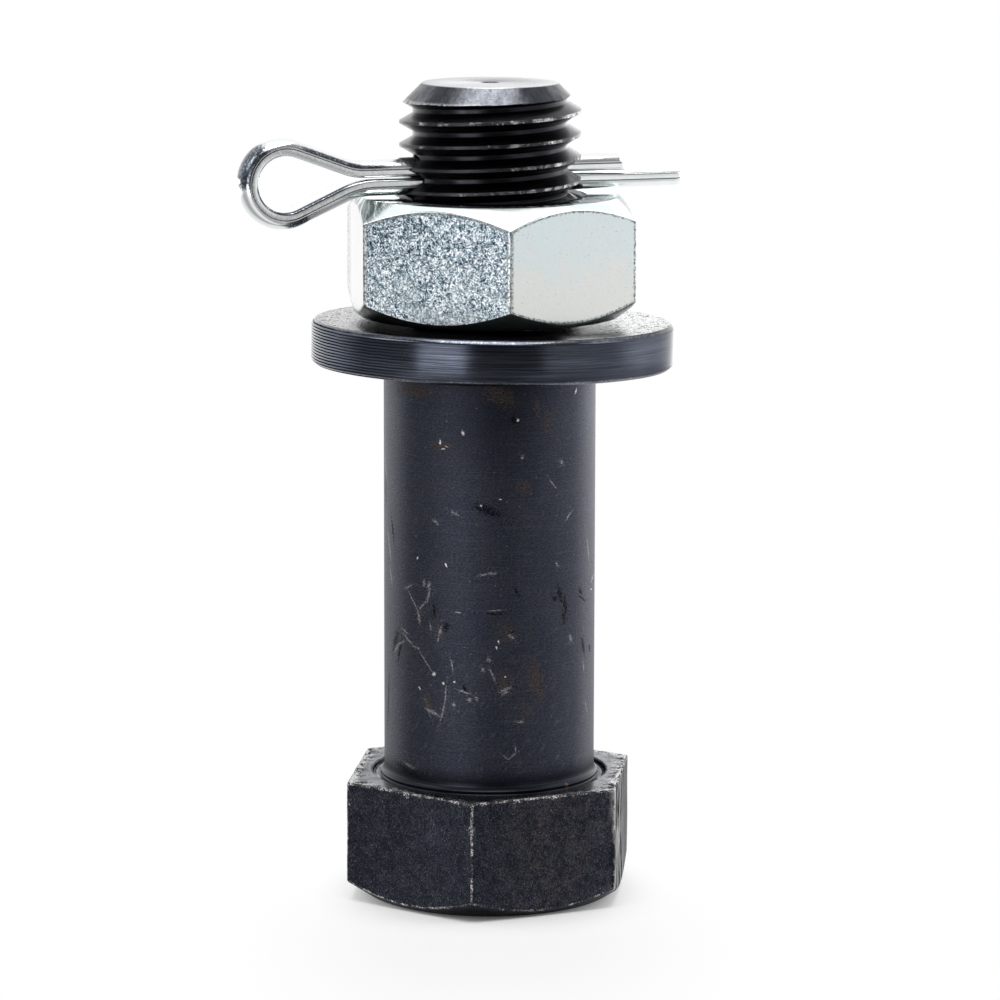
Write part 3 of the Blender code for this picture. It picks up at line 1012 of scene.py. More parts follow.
PALE_MARKS = (
    (-0.86, 44.89, 0.6, 0.12, 13), (0.37, 45.1, 0.5, 0.18, 7), (-9.12, 43.28, 0.4, 0.2, -90),
    (-8.31, 42.97, 0.53, 0.24, -90), (-8.39, 41.64, 0.86, 0.16, -106), (-11.0, 40.57, 1.42, 0.1, 127),
    (-9.39, 40.26, 1.12, 0.1, 47), (-9.98, 38.59, 0.86, 0.18, -78), (-8.07, 37.56, 0.4, 0.12, -79),
    (-6.63, 37.05, 0.6, 0.2, -105), (-6.85, 36.16, 0.4, 0.12, -102), (-9.0, 33.05, 1.75, 0.08, -49),
    (-5.83, 28.81, 1.01, 0.1, -94), (-6.2, 26.64, 1.2, 0.12, -104), (-0.07, 33.66, 0.27, 0.2, -76),
    (-0.78, 32.33, 0.29, 0.2, -64), (-4.92, 32.74, 0.73, 0.09, -79), (0.46, 31.61, 0.92, 0.12, -69),
    (2.1, 29.65, 0.7, 0.24, 21), (2.1, 29.25, 0.47, 0.18, 33), (-2.54, 28.3, 0.25, 0.23, -32),
    (-1.62, 28.53, 0.22, 0.2, -72), (4.11, 25.3, 0.55, 0.13, -4), (3.51, 21.66, 0.48, 0.09, -82),
    (3.05, 20.75, 0.69, 0.1, -140), (2.18, 20.65, 0.48, 0.08, 134), (8.83, 56.41, 0.75, 0.07, -50),
    (11.6, 51.87, 0.67, 0.1, 44), (-4.1, 39.82, 0.41, 0.08, -6), (0.96, 40.21, 0.85, 0.07, 4),
    (2.87, 36.72, 0.53, 0.18, -41), (-11.97, 42.43, 0.78, 0.12, -157), (-4.51, 52.85, 0.45, 0.14, -23),
    (4.35, 60.21, 0.21, 0.2, -71), (10.25, 59.15, 0.31, 0.2, -31), (-7.3, 51.52, 0.44, 0.16, -31),
    (-10.44, 34.53, 0.64, 0.12, -10), (-12.1, 35.42, 0.99, 0.12, -33), (-13.93, 34.51, 1.13, 0.13, 27),
    (-14.96, 33.59, 0.77, 0.16, 41), (-12.72, 36.39, 0.72, 0.12, -24), (-11.83, 18.5, 0.93, 0.2, -11),
    (12.11, 35.53, 0.5, 0.2, -78), (9.55, 45.71, 0.28, 0.13, -52), (-16.51, 43.22, 1.2, 0.16, -72),
    (-17.1, 46.99, 1.87, 0.2, -71), (-18.82, 57.17, 1.69, 0.16, -67), (16.61, 46.73, 1.58, 0.14, -76),
    (16.19, 25.74, 0.95, 0.12, -68), (15.31, 31.3, 0.85, 0.12, -79), (-8.4, 26.33, 0.68, 0.1, -69),
    (-4.71, 27.57, 0.28, 0.2, -42), (-3.22, 29.33, 0.77, 0.12, -17), (-7.8, 26.26, 1.1, 0.22, -19),
)
DARK_PITS = (
    (0.96, 39.78, 0.98, 0.1, 1), (2.74, 37.19, 0.54, 0.12, 12), (10.0, 41.75, 0.87, 0.24, -72),
    (11.0, 40.15, 0.98, 0.24, -79), (10.73, 38.59, 0.69, 0.18, -82), (14.37, 41.5, 0.42, 0.2, -40),
    (15.14, 34.01, 0.91, 0.24, -71), (17.42, 33.32, 0.39, 0.24, -54), (9.15, 41.25, 0.34, 0.2, 138),
    (-0.03, 53.3, 1.3, 0.40, -20), (-14.96, 34.66, 1.2, 0.4, -114), (-13.89, 33.65, 1.4, 0.24, -109),
    (-7.53, 39.74, 0.66, 0.18, -90), (3.52, 42.71, 0.49, 0.12, -57), (-5.69, 37.79, 0.41, 0.24, -100),
    (-15.79, 49.35, 1.32, 0.16, -76), (-17.65, 26.06, 2.63, 0.16, -96), (-18.78, 54.18, 1.34, 0.16, -91),
    (3.3, 65.14, 0.43, 0.33, -20), (-3.01, 29.67, 0.42, 0.16, -50), (20.42, 35.15, 1.37, 0.12, -86),
    (14.67, 40.52, 0.78, 0.12, -29), (-12.0, 17.6, 2.0, 0.5, -11),
)
BROWN_STAINS = (
    (1.37, 68.44, 2.2, 1.3, -31), (-10.95, 68.45, 3.2, 0.9, 1), (6.35, 66.69, 1.2, 0.45, -81),
    (7.84, 64.49, 1.5, 0.6, -82), (-6.52, 61.68, 1.5, 0.5, 4), (4.4, 56.23, 1.1, 0.9, -37),
    (6.35, 30.71, 2.9, 1.1, -78), (2.34, 37.21, 1.1, 0.9, -82), (2.16, 30.58, 1.6, 0.9, -87),
    (4.79, 26.92, 1.0, 0.6, -81), (-8.56, 27.65, 1.6, 0.6, -74), (-6.71, 36.77, 1.0, 0.6, -74),
    (-9.81, 38.94, 1.2, 0.5, -110),
)
# The rust spot beside the thread's end, from the front: toward, right, up in mm.
THREAD_RUST_PLACE = (9.5, 6.6, 105.4)
THREAD_RUST = (0.20, 0.10, 0.045)


@dataclass(frozen=True)
class GroundBlackSteel:
    """Black oxide over one length of the ground shank, with its nicks, scratches, stains and pits."""

    low_mm: float
    high_mm: float
    radius_mm: float = 13.95
    foot_mm: float = 16.0
    black: Colour = (0.031, 0.036, 0.056)
    soft_black: Colour = (0.043, 0.046, 0.062)
    grain_black: Colour = (0.0, 0.0, 0.004)
    pale: Colour = (0.205, 0.215, 0.245)
    scratch: Colour = (0.30, 0.30, 0.31)
    bare: Colour = (0.80, 0.80, 0.81)
    pit: Colour = (0.005, 0.005, 0.008)
    brown: Colour = (0.110, 0.080, 0.060)
    under_washer: Colour = (0.012, 0.013, 0.020)
    at_foot: Colour = (0.007, 0.007, 0.011)

    def near(self, table: Sequence[Mark]) -> list[Mark]:
        """The marks that reach into this length of the shank."""
        return [mark for mark in table
                if self.low_mm - 1.6 * mark[2] - 0.5 < mark[1] < self.high_mm + 1.6 * mark[2] + 0.5]

    def make(self) -> bpy.types.Material:
        """Draw the finish.

        Returns:
            The material.
        """
        g = SurfaceGraph(f"ground_black_steel_{round(self.low_mm)}")
        x, y, z = g.split(g.laid(turn=-FACING))
        around = g.math("ARCTAN2", y, x) * self.radius_mm
        flat = g.join(around, z)
        fine = g.clouds(flat, 2.6, 4.0, 0.65)
        rag = (g.clouds(flat, 4.5, 4.0, 0.78) - 0.5) * 3.6
        pit_rag = (g.clouds(flat, 3.4, 4.0, 0.8) - 0.5) * 7.0
        stain_rag = (g.clouds(flat, 1.6, 5.0, 0.8) - 0.5) * 4.5
        bare = g.marks(flat, self.near(BARE_NICKS), rag).between(0.75, 0.25)
        from_scratch = g.marks(flat, self.near(PALE_MARKS), rag)
        from_pit = g.marks(flat, self.near(DARK_PITS), pit_rag)
        stain = g.marks(flat, self.near(BROWN_STAINS), stain_rag).between(1.4, 0.4)
        pale, pits = from_scratch.between(1.6, 0.4), from_pit.between(1.7, 0.9)
        lines = g.clouds(g.scaled(flat, (0.12, 7.0, 1.0)), 1.0, 4.0, 0.75)
        drift = g.clouds(flat, 0.22, 4.0, 0.6, 0.4)
        grain = g.clouds(g.scaled(flat, (0.7, 1.3, 1.0)), 4.2, 3.0, 0.85)
        rub = (g.clouds(g.scaled(flat, (0.6, 1.5, 1.0), 0.9), 0.9, 6.0, 0.75) - 0.53).between(0.0, 0.16)
        kind, middle = g.cells(flat, 1.25)
        specks = middle.between(0.17, 0.06) * kind.between(0.78, 0.84)
        low = z.between(self.foot_mm + 26.0, self.foot_mm + 8.0)
        # Painted sheen: the shank's two sides, seen aslant from the front, are painted lighter with the pale colour,
        # and the rubbed pattern shows fully there.
        flank = around.between(-11.0, -16.0).most(around.between(12.0, 17.0))
        shade = z.between(52.0, 67.0) * g.math("ABSOLUTE", around - 0.5).between(9.0, 3.0)
        foot = z.between(self.foot_mm + 3.4, self.foot_mm + 0.8)
        oxide = g.blend(drift.between(0.3, 0.7), self.black, self.soft_black)
        oxide = g.blend(grain.between(0.40, 0.64), g.blend(0.30, oxide, self.grain_black),
                        g.blend(0.13, oxide, self.pale))
        colour = g.coats(
            oxide,
            (lines.between(0.52, 0.68) * 0.14, self.pale),
            (rub * 0.22 * (0.35 + 0.65 * low).most(flank), self.pale),
            (flank * (0.19 + 0.36 * grain.between(0.50, 0.62)), self.pale),
            (shade * 0.55, self.under_washer),
            (stain * grain.between(0.42, 0.58) * 0.75, self.brown),
            (from_scratch.between(5.5, 1.0) * grain.between(0.55, 0.64) * 0.5, self.pale),
            (from_pit.between(5.0, 1.0) * grain.between(0.46, 0.38) * 0.8, self.pit),
            (specks * 0.35, self.scratch),
            (pits * grain.between(0.62, 0.48) * 0.95, self.pit),
            (pale * grain.between(0.40, 0.56), self.scratch),
            (bare, self.bare),
            (foot * 0.8, self.at_foot))
        rough = 0.43 + 0.08 * drift + 0.08 * lines + 0.1 * stain + 0.15 * pits
        height = lines * 0.007 + fine * 0.004 + grain * 0.003 - pits * 0.02 - pale * 0.006 - bare * 0.015
        return g.finish(colour, rough, 1.0, g.relief(height))


@dataclass(frozen=True)
class ForgedBlackSteel:
    """Black scale on the forged head, rubbed bright at its edges."""

    black: Colour = (0.026, 0.030, 0.046)
    soft_black: Colour = (0.050, 0.054, 0.072)
    scale_grey: Colour = (0.066, 0.070, 0.090)
    tint: Colour = (0.105, 0.088, 0.092)
    drawn_grey: Colour = (0.10, 0.095, 0.10)
    blue: Colour = (0.085, 0.095, 0.125)
    cloud: Colour = (0.012, 0.014, 0.022)
    grain_black: Colour = (0.004, 0.004, 0.008)
    speck: Colour = (0.34, 0.34, 0.35)
    score: Colour = (0.010, 0.010, 0.014)
    scraped_bare: Colour = (0.55, 0.54, 0.54)
    bare: Colour = (0.85, 0.83, 0.81)
    blue_spot: Place = (17.0, -7.1, 11.5)

    def make(self) -> bpy.types.Material:
        """Draw the finish.

        Returns:
            The material.
        """
        g = SurfaceGraph("forged_black_steel")
        place = g.laid(turn=-FACING)
        toward, right, z = g.split(place)
        gap = g.stored(Shell.WEAR)
        coarse = g.clouds(place, 0.42, 4.0, 0.6, 0.3)
        fine = g.clouds(place, 2.2, 5.0, 0.7)
        grit = g.clouds(place, 5.0, 4.0, 0.85)
        cloudy = g.clouds(place, 0.6, 5.0, 0.75, 0.5)
        broken = g.clouds(place, 0.9, 4.0, 0.7).between(0.44, 0.54)
        strong = coarse.between(0.40, 0.60)
        lower_left = z.between(3.5, 2.0) * right.between(-3.0, -6.0)
        where = strong.most(0.5 * right.between(-12.0, -16.0)).most(lower_left)
        line = (gap - (fine - 0.5) * 0.3).between(0.07, 0.0) * grit.between(0.46, 0.56)
        line = line * (0.06 + 0.94 * where * broken)
        chips = (gap - (coarse - 0.54).between(0.0, 0.14) * 0.9).between(0.16, 0.0)
        chips = chips * (grit - 0.52).between(0.0, 0.05) * broken
        worn = line.most(chips * z.between(11.0, 14.0))
        drawn = g.clouds(g.join(toward * 2.6 + right * 1.7, z * 0.22), 1.0, 4.0, 0.75)
        ragged = g.clouds(g.join(toward * 0.75, z * 0.10), 1.0, 3.0, 0.7)
        scraped = right.between(15.6, 16.7) * toward.between(-4.0, 2.0)
        reddish = g.clouds(place, 0.45, 6.0, 0.8, 0.3).between(0.42, 0.64) * right.between(-1.5, 4.0)
        bluish = (g.away_from(place, self.blue_spot) - (fine - 0.5) * 3.0).between(2.6, 0.8)
        bluish = bluish.most(right.between(12.0, 15.0) * right.between(15.9, 15.6) * fine.between(0.40, 0.55))
        colour = g.coats(
            g.blend(fine.between(0.38, 0.62), self.black, self.soft_black),
            (strong * 0.35, self.scale_grey),
            (reddish * 0.6, self.tint),
            (drawn.between(0.50, 0.64) * right.between(0.0, 3.0) * 0.3, self.drawn_grey),
            (bluish * 0.5, self.blue),
            (cloudy.between(0.58, 0.40) * 0.5, self.cloud),
            (grit.between(0.53, 0.41) * 0.85, self.grain_black),
            ((grit - 0.60).between(0.0, 0.05) * 0.60, self.speck),
            (scraped * ragged.between(0.55, 0.46) * 0.7, self.score),
            (scraped * ragged.between(0.46, 0.56) * (0.45 + 0.55 * drawn) * 0.8, self.scraped_bare),
            (worn, self.bare))
        rough = 0.38 + 0.2 * fine - 0.10 * scraped
        height = coarse * 0.07 + fine * 0.06 + grit * 0.05
        grazing = 1.0 - scraped * (0.05 + 0.90 * ragged.between(0.54, 0.47))
        return g.finish(colour, rough, 1.0, g.relief(height), grazing)


@dataclass(frozen=True)
class TurnedSteel:
    """Bare turned steel of the bearing face, the groove and the foot of the shank."""

    steel: Colour = (0.24, 0.245, 0.265)
    dull: Colour = (0.045, 0.046, 0.055)
    ring_light: Colour = (0.25, 0.255, 0.27)
    chipped: Colour = (0.48, 0.47, 0.46)
    groove_shade: Colour = (0.030, 0.031, 0.038)
    foot_shade: Colour = (0.009, 0.010, 0.016)
    foot_light: Colour = (0.12, 0.13, 0.15)
    rust: Colour = (0.12, 0.055, 0.03)
    rust_place: Place = (10.2, 10.3, 16.2)

    def make(self) -> bpy.types.Material:
        """Draw the finish.

        Returns:
            The material.
        """
        g = SurfaceGraph("turned_steel")
        place = g.laid(turn=-FACING)
        toward, right, z = g.split(place)
        radius = g.far_off(toward, right)
        rings = g.clouds(g.join(radius * 5.0, z * 5.0), 1.0, 3.0, 0.7)
        fine = g.clouds(place, 3.0, 5.0, 0.78)
        coarse = g.clouds(place, 0.7, 5.0, 0.7)
        jag = fine - 0.5
        gap = g.stored(Shell.WEAR)
        foot = radius.between(14.9, 14.6)
        chips = (gap - jag * 3.0 - (coarse - 0.5) * 5.0).between(0.7, 0.2)
        rust = (g.away_from(place, self.rust_place) + jag * 1.4).between(0.46, 0.26)
        calm = gap.between(0.7, 2.2) * 0.75
        mottle = (coarse * 0.55 + fine * 0.45).between(0.42, 0.55) * (1.0 - calm) + (0.48 + 0.3 * fine) * calm
        groove = radius.between(14.9, 15.2) * (radius + jag * 0.6).between(15.9, 15.6) * toward.between(4.5, 0.0)
        groove = groove * (0.5 + 0.3 * rings.between(0.58, 0.46) + 0.2 * right.between(-1.0, 1.0))
        colour = g.coats(
            g.blend(mottle, self.dull, self.steel),
            (rings.between(0.52, 0.64) * 0.4, self.ring_light),
            (chips * fine.between(0.4, 0.55), self.chipped),
            (groove * 0.85, self.groove_shade),
            (foot * 0.95, self.foot_shade),
            (foot * rings.between(0.56, 0.64) * 0.5, self.foot_light),
            (rust, self.rust))
        height = rings * 0.010 + fine * 0.012 - chips * 0.05 - groove * 0.03
        height = height + coarse * 0.03 * (1.0 - foot) * (1.0 - calm)
        grazing = (0.22 + 0.78 * mottle.most(foot).most(chips)) * (1.0 - 0.8 * groove)
        return g.finish(colour, 0.20 + 0.12 * fine + 0.08 * foot, 1.0 - rust * 0.7,
                        g.relief(height, 0.6), grazing)


@dataclass(frozen=True)
class BlackThreadSteel:
    """Black cut thread with bright rubbed crests."""

    crest_mm: float = 11.875
    black: Colour = (0.014, 0.014, 0.018)
    soft_black: Colour = (0.020, 0.020, 0.024)
    turned_grey: Colour = (0.07, 0.07, 0.08)
    crest_grey: Colour = (0.12, 0.12, 0.13)
    bare: Colour = (0.75, 0.74, 0.73)

    def make(self) -> bpy.types.Material:
        """Draw the finish.

        Returns:
            The material.
        """
        g = SurfaceGraph("black_thread_steel")
        place = g.laid(turn=-FACING)
        toward, right, z = g.split(place)
        radius = g.far_off(toward, right)
        fine = g.clouds(place, 2.4, 4.0, 0.7)
        coarse = g.clouds(place, 0.42, 3.0, 0.6)
        grit = g.clouds(g.scaled(place, (1.0, 1.0, 1.6)), 7.5, 3.0, 0.85)
        crest = radius.between(self.crest_mm - 0.22, self.crest_mm - 0.03)
        rub = radius.between(self.crest_mm - 0.12, self.crest_mm - 0.02)
        rub = rub * (coarse * 0.7 + fine * 0.25 + grit * 0.9 + right * 0.004).between(1.02, 1.09)
        turned = g.clouds(g.join(radius * 9.0, g.math("ARCTAN2", right, toward) * 1.5, z * 0.3), 1.0, 3.0, 0.7)
        rust = (g.away_from(place, THREAD_RUST_PLACE) + (fine - 0.5) * 1.2).between(0.55, 0.35)
        colour = g.coats(
            g.blend(fine, self.black, self.soft_black),
            (turned.between(0.5, 0.66) * 0.35, self.turned_grey),
            (crest * grit.between(0.40, 0.62) * 0.35, self.crest_grey),
            (rub * 0.95, self.bare),
            (rust, THREAD_RUST))
        return g.finish(colour, 0.18 + 0.02 * rub + 0.12 * fine, 1.0 - rust * 0.7,
                        g.relief(fine * 0.010 + grit * crest * 0.03 + turned * 0.004))


@dataclass(frozen=True)
class ScrewEndSteel:
    """Bare scratched steel of the thread's chamfer and end face."""

    top_mm: float = 107.5
    steel: Colour = (0.130, 0.135, 0.150)
    dull: Colour = (0.045, 0.047, 0.058)
    # Colour of the painted dark reflections on the chamfer.
    dim: Colour = (0.018, 0.019, 0.026)
    speck: Colour = (0.02, 0.02, 0.026)
    worn: Colour = (0.50, 0.50, 0.51)
    end_face: Colour = (0.36, 0.365, 0.38)
    end_speck: Colour = (0.08, 0.08, 0.09)

    def make(self) -> bpy.types.Material:
        """Draw the finish.

        Returns:
            The material.
        """
        g = SurfaceGraph("screw_end_steel")
        place = g.laid(turn=-FACING)
        toward, right, z = g.split(place)
        radius = g.far_off(toward, right)
        angle = g.math("DEGREES", g.math("ARCTAN2", right, toward))
        fine = g.clouds(place, 3.0, 5.0, 0.75)
        coarse = g.clouds(place, 0.6, 3.0, 0.6)
        rings = g.clouds(g.join(radius * 6.0, z * 6.0), 1.0, 3.0, 0.7)
        streaks = g.clouds(g.join(angle * 0.25, radius * 0.6), 1.0, 3.0, 0.6)
        rust = (g.away_from(place, THREAD_RUST_PLACE) + (fine - 0.5) * 1.2).between(0.55, 0.35)
        # Painted reflections on the chamfer, by azimuth from the front: light is a painted highlight in the middle,
        # left_dim and right_dim are painted dark reflections to either side.
        light = angle.between(-36.0, -24.0) * angle.between(28.0, 18.0)
        left_dim = angle.between(-52.0, -44.0) * angle.between(-26.0, -34.0)
        right_dim = angle.between(24.0, 30.0) * angle.between(58.0, 48.0)
        foot = (radius - (fine - 0.5) * 0.8).between(10.75, 11.1)
        face = z.between(self.top_mm - 0.10, self.top_mm - 0.02) * radius.between(1.1, 1.4)
        colour = g.coats(
            g.blend((streaks * 0.6 + coarse * 0.4).between(0.36, 0.62), self.dull, self.steel),
            (light * 0.35, self.steel),
            (left_dim.most(right_dim) * (0.4 + 0.6 * coarse), self.dim),
            ((fine - 0.50).between(0.0, 0.12) * 0.6, self.speck),
            (foot * fine.between(0.42, 0.54) * 0.8, self.worn),
            (face * 0.8, self.end_face),
            (face * fine.between(0.5, 0.62) * 0.35, self.end_speck),
            (rust, THREAD_RUST))
        return g.finish(colour, 0.26 + 0.16 * fine - 0.06 * face, 1.0 - rust * 0.7,
                        g.relief(fine * 0.006 + rings * 0.006))


@dataclass(frozen=True)
class TurnedBlackWasher:
    """Black oxide over the turned washer: rings on its faces, lines round its rim, rubbed corners."""

    seat: Matrix
    rim_mm: float = 23.8
    thickness_mm: float = 5.8
    corner_mm: float = 0.55
    feed_lines: float = 16.5
    black: Colour = (0.041, 0.048, 0.066)
    soft_black: Colour = (0.055, 0.059, 0.075)
    turned_dark: Colour = (0.008, 0.010, 0.018)
    turned_light: Colour = (0.115, 0.135, 0.175)
    line_dark: Colour = (0.010, 0.012, 0.020)
    line_light: Colour = (0.145, 0.157, 0.195)
    face: Colour = (0.44, 0.44, 0.45)
    face_speck: Colour = (0.09, 0.09, 0.095)
    # Colour of the painted shade in front of the nut.
    front_shade_black: Colour = (0.008, 0.008, 0.010)
    bare: Colour = (0.30, 0.30, 0.315)

    def make(self) -> bpy.types.Material:
        """Draw the finish.

        Returns:
            The material.
        """
        g = SurfaceGraph("turned_black_washer")
        place = g.seated(self.seat)
        x, y, z = g.split(place)
        radius = g.far_off(x, y)
        front, right = g.front_of(x, y), g.right_of(x, y)
        edge = g.far_off(self.rim_mm - radius, z.least(self.thickness_mm - z))
        fine = g.clouds(place, 2.6, 5.0, 0.72)
        coarse = g.clouds(place, 0.4, 3.0, 0.6)
        jag = fine - 0.5
        turned = g.clouds(g.join(g.math("ARCTAN2", y, x) * 2.0, radius * 3.0, z * 9.0), 1.0, 4.0, 0.75)
        feed = g.math("SINE", z * self.feed_lines + coarse * 3.0 + fine * 1.2)
        on_face = (radius - (self.rim_mm - self.corner_mm)).between(0.02, -0.02)
        rim = 1.0 - on_face
        worn = (edge - (coarse - 0.5) * 0.3 - jag * 0.4).between(0.5, 0.32)
        speckle = (g.clouds(place, 4.0, 4.0, 0.85) - 0.49).between(0.0, 0.10)
        off_centre = g.math("ABSOLUTE", right + 2.0)
        pits = (g.clouds(place, 1.5, 4.0, 0.8) + off_centre * 0.0022).between(0.610, 0.635)
        # Painted shade on the top face in front of the nut, where the nut's shadow and dark reflection fall; it also
        # raises roughness and dims the shine there.
        painted_front_shade = g.math("ABSOLUTE", right + 3.4 + jag * 4.0).between(14.5, 11.0)
        painted_front_shade = on_face * painted_front_shade * front.between(0.0, 5.0)
        dark = (painted_front_shade * 0.96).most(pits * on_face)
        # The feed lines are real; their colour contrast and relief are raised on the left, where light catches them,
        # so this is partly painted highlight and shade.
        left_lit_line_strength = 0.09 + 0.81 * right.between(-7.0, -15.0)
        calm = 1.0 - 0.55 * right.between(4.0, 14.0)
        colour = g.coats(
            g.blend(coarse, self.black, self.soft_black),
            (turned.between(0.48, 0.38) * 0.85 * rim * calm, self.turned_dark),
            (turned.between(0.53, 0.64) * 0.75 * rim * calm, self.turned_light),
            (feed.between(0.0, -0.9) * left_lit_line_strength * rim * 0.8, self.line_dark),
            (feed.between(0.2, 0.95) * left_lit_line_strength * rim * 0.6, self.line_light),
            (on_face, self.face),
            (on_face * speckle * 0.85, self.face_speck),
            (dark, self.front_shade_black),
            (worn * (0.16 + 0.6 * speckle), self.bare))
        rough = 0.13 + 0.06 * turned + 0.05 * fine + 0.03 * on_face + 0.12 * painted_front_shade
        height = turned * 0.004 + fine * 0.001 + on_face * speckle * 0.004 + feed * left_lit_line_strength * rim * 0.0022
        dim = (0.95 * dark).most(0.55 * speckle * on_face)
        dim = dim.most(rim * (0.85 * feed.between(0.1, -0.7) * left_lit_line_strength).most(0.4 * right.between(17.0, 21.0)))
        return g.finish(colour, rough, 1.0, g.relief(height), 1.0 - dim)


class ZincLook(Enum):
    """How the zinc skin looks on one part of the nut."""

    SMOOTH = "smooth"
    CRYSTALS = "crystals"
    CHAMFER = "chamfer"
    THREAD = "thread"


@dataclass(frozen=True)
class ZincSkin:
    """Bright zinc on the nut: smooth, or etched into sparkling crystals."""

    look: ZincLook
    etched_flat: float = math.radians(229.6)
    crystal_size: Place = (1.7, 8.6, 1.0)
    crystal_turns: tuple[float, ...] = (0.3, 0.95, 1.55, 2.2, 2.8)
    shadow_turns: tuple[float, ...] = (0.1, 0.8, 1.4, 2.4)
    stain_place: Place = (16.6, 7.5, 89.6)
    face_level_mm: float = 92.88

    def make(self) -> bpy.types.Material:
        """Draw the finish.

        Returns:
            The material.
        """
        g = SurfaceGraph("zinc_" + self.look.value)
        fine = g.clouds(g.laid(), 3.0, 5.0, 0.7)
        makers = {ZincLook.SMOOTH: self.smooth, ZincLook.CRYSTALS: self.crystals,
                  ZincLook.CHAMFER: self.chamfer, ZincLook.THREAD: self.thread}
        return makers[self.look](g, fine)

    def crystals(self, g: SurfaceGraph, fine: Term) -> bpy.types.Material:
        """The etched flat: bright and dark needles, with worn corners.

        Args:
            g: the material's graph.
            fine: fine noise.

        Returns:
            The material.
        """
        across, _, z = g.split(g.laid(turn=-self.etched_flat - math.pi / 2))
        flat = g.join(across, z)
        gap, jag = g.stored(Shell.WEAR), fine - 0.5
        bright = self.needles(g, flat, self.crystal_turns, 0.17)
        dark = self.needles(g, g.scaled(flat, (-1.0, 1.0, 1.0)), self.shadow_turns, 0.18)
        small, _ = g.cells(g.laid(), 5.0)
        deep = 0.36 + 0.30 * g.clouds(flat, 0.25, 4.0, 0.65) + 0.2 * z.between(84.0, 91.0) * across.between(4.0, -8.0)
        upper_left = z.between(82.0, 91.0) * across.between(6.0, -8.0)
        sparkle = 0.37 + bright * 0.50 - dark * deep * 0.8 + (small - 0.5) * 0.26 - 0.07 * upper_left
        patch = g.clouds(flat, 0.2, 4.0, 0.65).between(0.42, 0.66) * z.between(88.0, 80.0)
        border = (gap - jag * 0.9).between(0.2, 0.02) * small.between(0.3, 0.6)
        corner = (gap - jag * 0.5).between(0.42, 0.2) * z.between(80.6, 82.0)
        colour = g.coats(
            g.blend(sparkle.between(0.0, 0.50), (0.010, 0.024, 0.042), (0.28, 0.355, 0.405)),
            (sparkle.between(0.46, 1.02), (0.96, 0.98, 0.99)),
            (patch * 0.35, (0.38, 0.425, 0.44)),
            (border * z.between(81.6, 80.2), (0.90, 0.91, 0.92)),
            (corner * 0.75, (0.24, 0.27, 0.28)),
            (corner * small.between(0.45, 0.6) * 0.8, (0.03, 0.04, 0.05)))
        return g.finish(colour, 0.30 + 0.2 * small, 0.95, g.relief(sparkle * 0.012 + fine * 0.008, 0.7))

    def thread(self, g: SurfaceGraph, fine: Term) -> bpy.types.Material:
        """The inner thread, which hardly shows."""
        return g.finish(g.blend(fine, (0.30, 0.32, 0.34), (0.45, 0.47, 0.49)), 0.42, 1.0)

    def chamfer(self, g: SurfaceGraph, fine: Term) -> bpy.types.Material:
        """The chamfers and the flat faces between them, with painted shade streaked at the left and a painted dark
        reflection below.

        Args:
            g: the material's graph.
            fine: fine noise.

        Returns:
            The material.
        """
        coarse = g.clouds(g.laid(), 0.35, 4.0, 0.6, 0.4)
        toward, right, z = g.split(g.laid(turn=-FACING))
        angle = g.math("DEGREES", g.math("ARCTAN2", right, toward))
        face = z.between(self.face_level_mm - 0.02, self.face_level_mm + 0.02)
        streaks = g.clouds(g.join(angle * 0.16 + z * 0.9, z * 0.15), 1.0, 3.0, 0.7).between(0.42, 0.56)
        shaded = angle.between(-46.0, -54.0) * angle.between(-92.0, -84.0) * (1.0 - face)
        # Painted dark reflection of the washer on the lower chamfer, greener to the right.
        painted_reflection_below = g.blend(right.between(-6.0, 3.0), (0.020, 0.024, 0.028), (0.085, 0.115, 0.11))
        colour = g.coats(
            g.blend(coarse.between(0.35, 0.65), (0.86, 0.89, 0.89), (0.76, 0.83, 0.83)),
            ((fine - 0.60).between(0.0, 0.1) * 0.25, (0.2, 0.22, 0.22)),
            (shaded * streaks * 0.9, (0.10, 0.14, 0.13)),
            (z.between(82.0, 80.5) * 0.95, painted_reflection_below))
        return g.finish(colour, 0.06 + 0.05 * fine + 0.12 * (1.0 - face), 0.8 + 0.2 * face,
                        g.relief(coarse * 0.014 + fine * 0.001))

    def smooth(self, g: SurfaceGraph, fine: Term) -> bpy.types.Material:
        """The smooth flats, with a faint ring stain and flecked corners.

        Args:
            g: the material's graph.
            fine: fine noise.

        Returns:
            The material.
        """
        coarse = g.clouds(g.laid(), 0.35, 4.0, 0.6, 0.4)
        place = g.laid(turn=-FACING)
        _, right, z = g.split(place)
        gap, jag = g.stored(Shell.WEAR), fine - 0.5
        tone = (z - 84.0) * 0.11 + (coarse - 0.5) * 1.6 - right.between(1.5, -4.0) * 0.9
        stain = g.math("ABSOLUTE", g.away_from(place, self.stain_place) - 1.9 + jag * 0.8).between(0.7, 0.0)
        edge = (gap - jag * 0.6).between(0.34, 0.1)
        flecked = edge.most(right.between(-18.1, -18.7)) * (fine - 0.48).between(0.0, 0.06)
        colour = g.coats(
            g.blend(tone.between(-0.35, 0.6), (0.690, 0.700, 0.678), (0.635, 0.700, 0.715)),
            (fine.between(0.50, 0.34) * 0.25, (0.50, 0.54, 0.55)),
            (stain * 0.4, (0.60, 0.73, 0.74)),
            (right.between(-14.0, -16.0), (0.55, 0.54, 0.545)),
            ((fine - 0.60).between(0.0, 0.06) * 0.45, (0.22, 0.23, 0.23)),
            (edge * 0.5, (0.38, 0.40, 0.41)),
            (flecked * 0.85, (0.05, 0.06, 0.07)))
        return g.finish(colour, 0.3 + 0.05 * coarse, 0.93, g.relief(coarse * 0.03 + fine * 0.002))

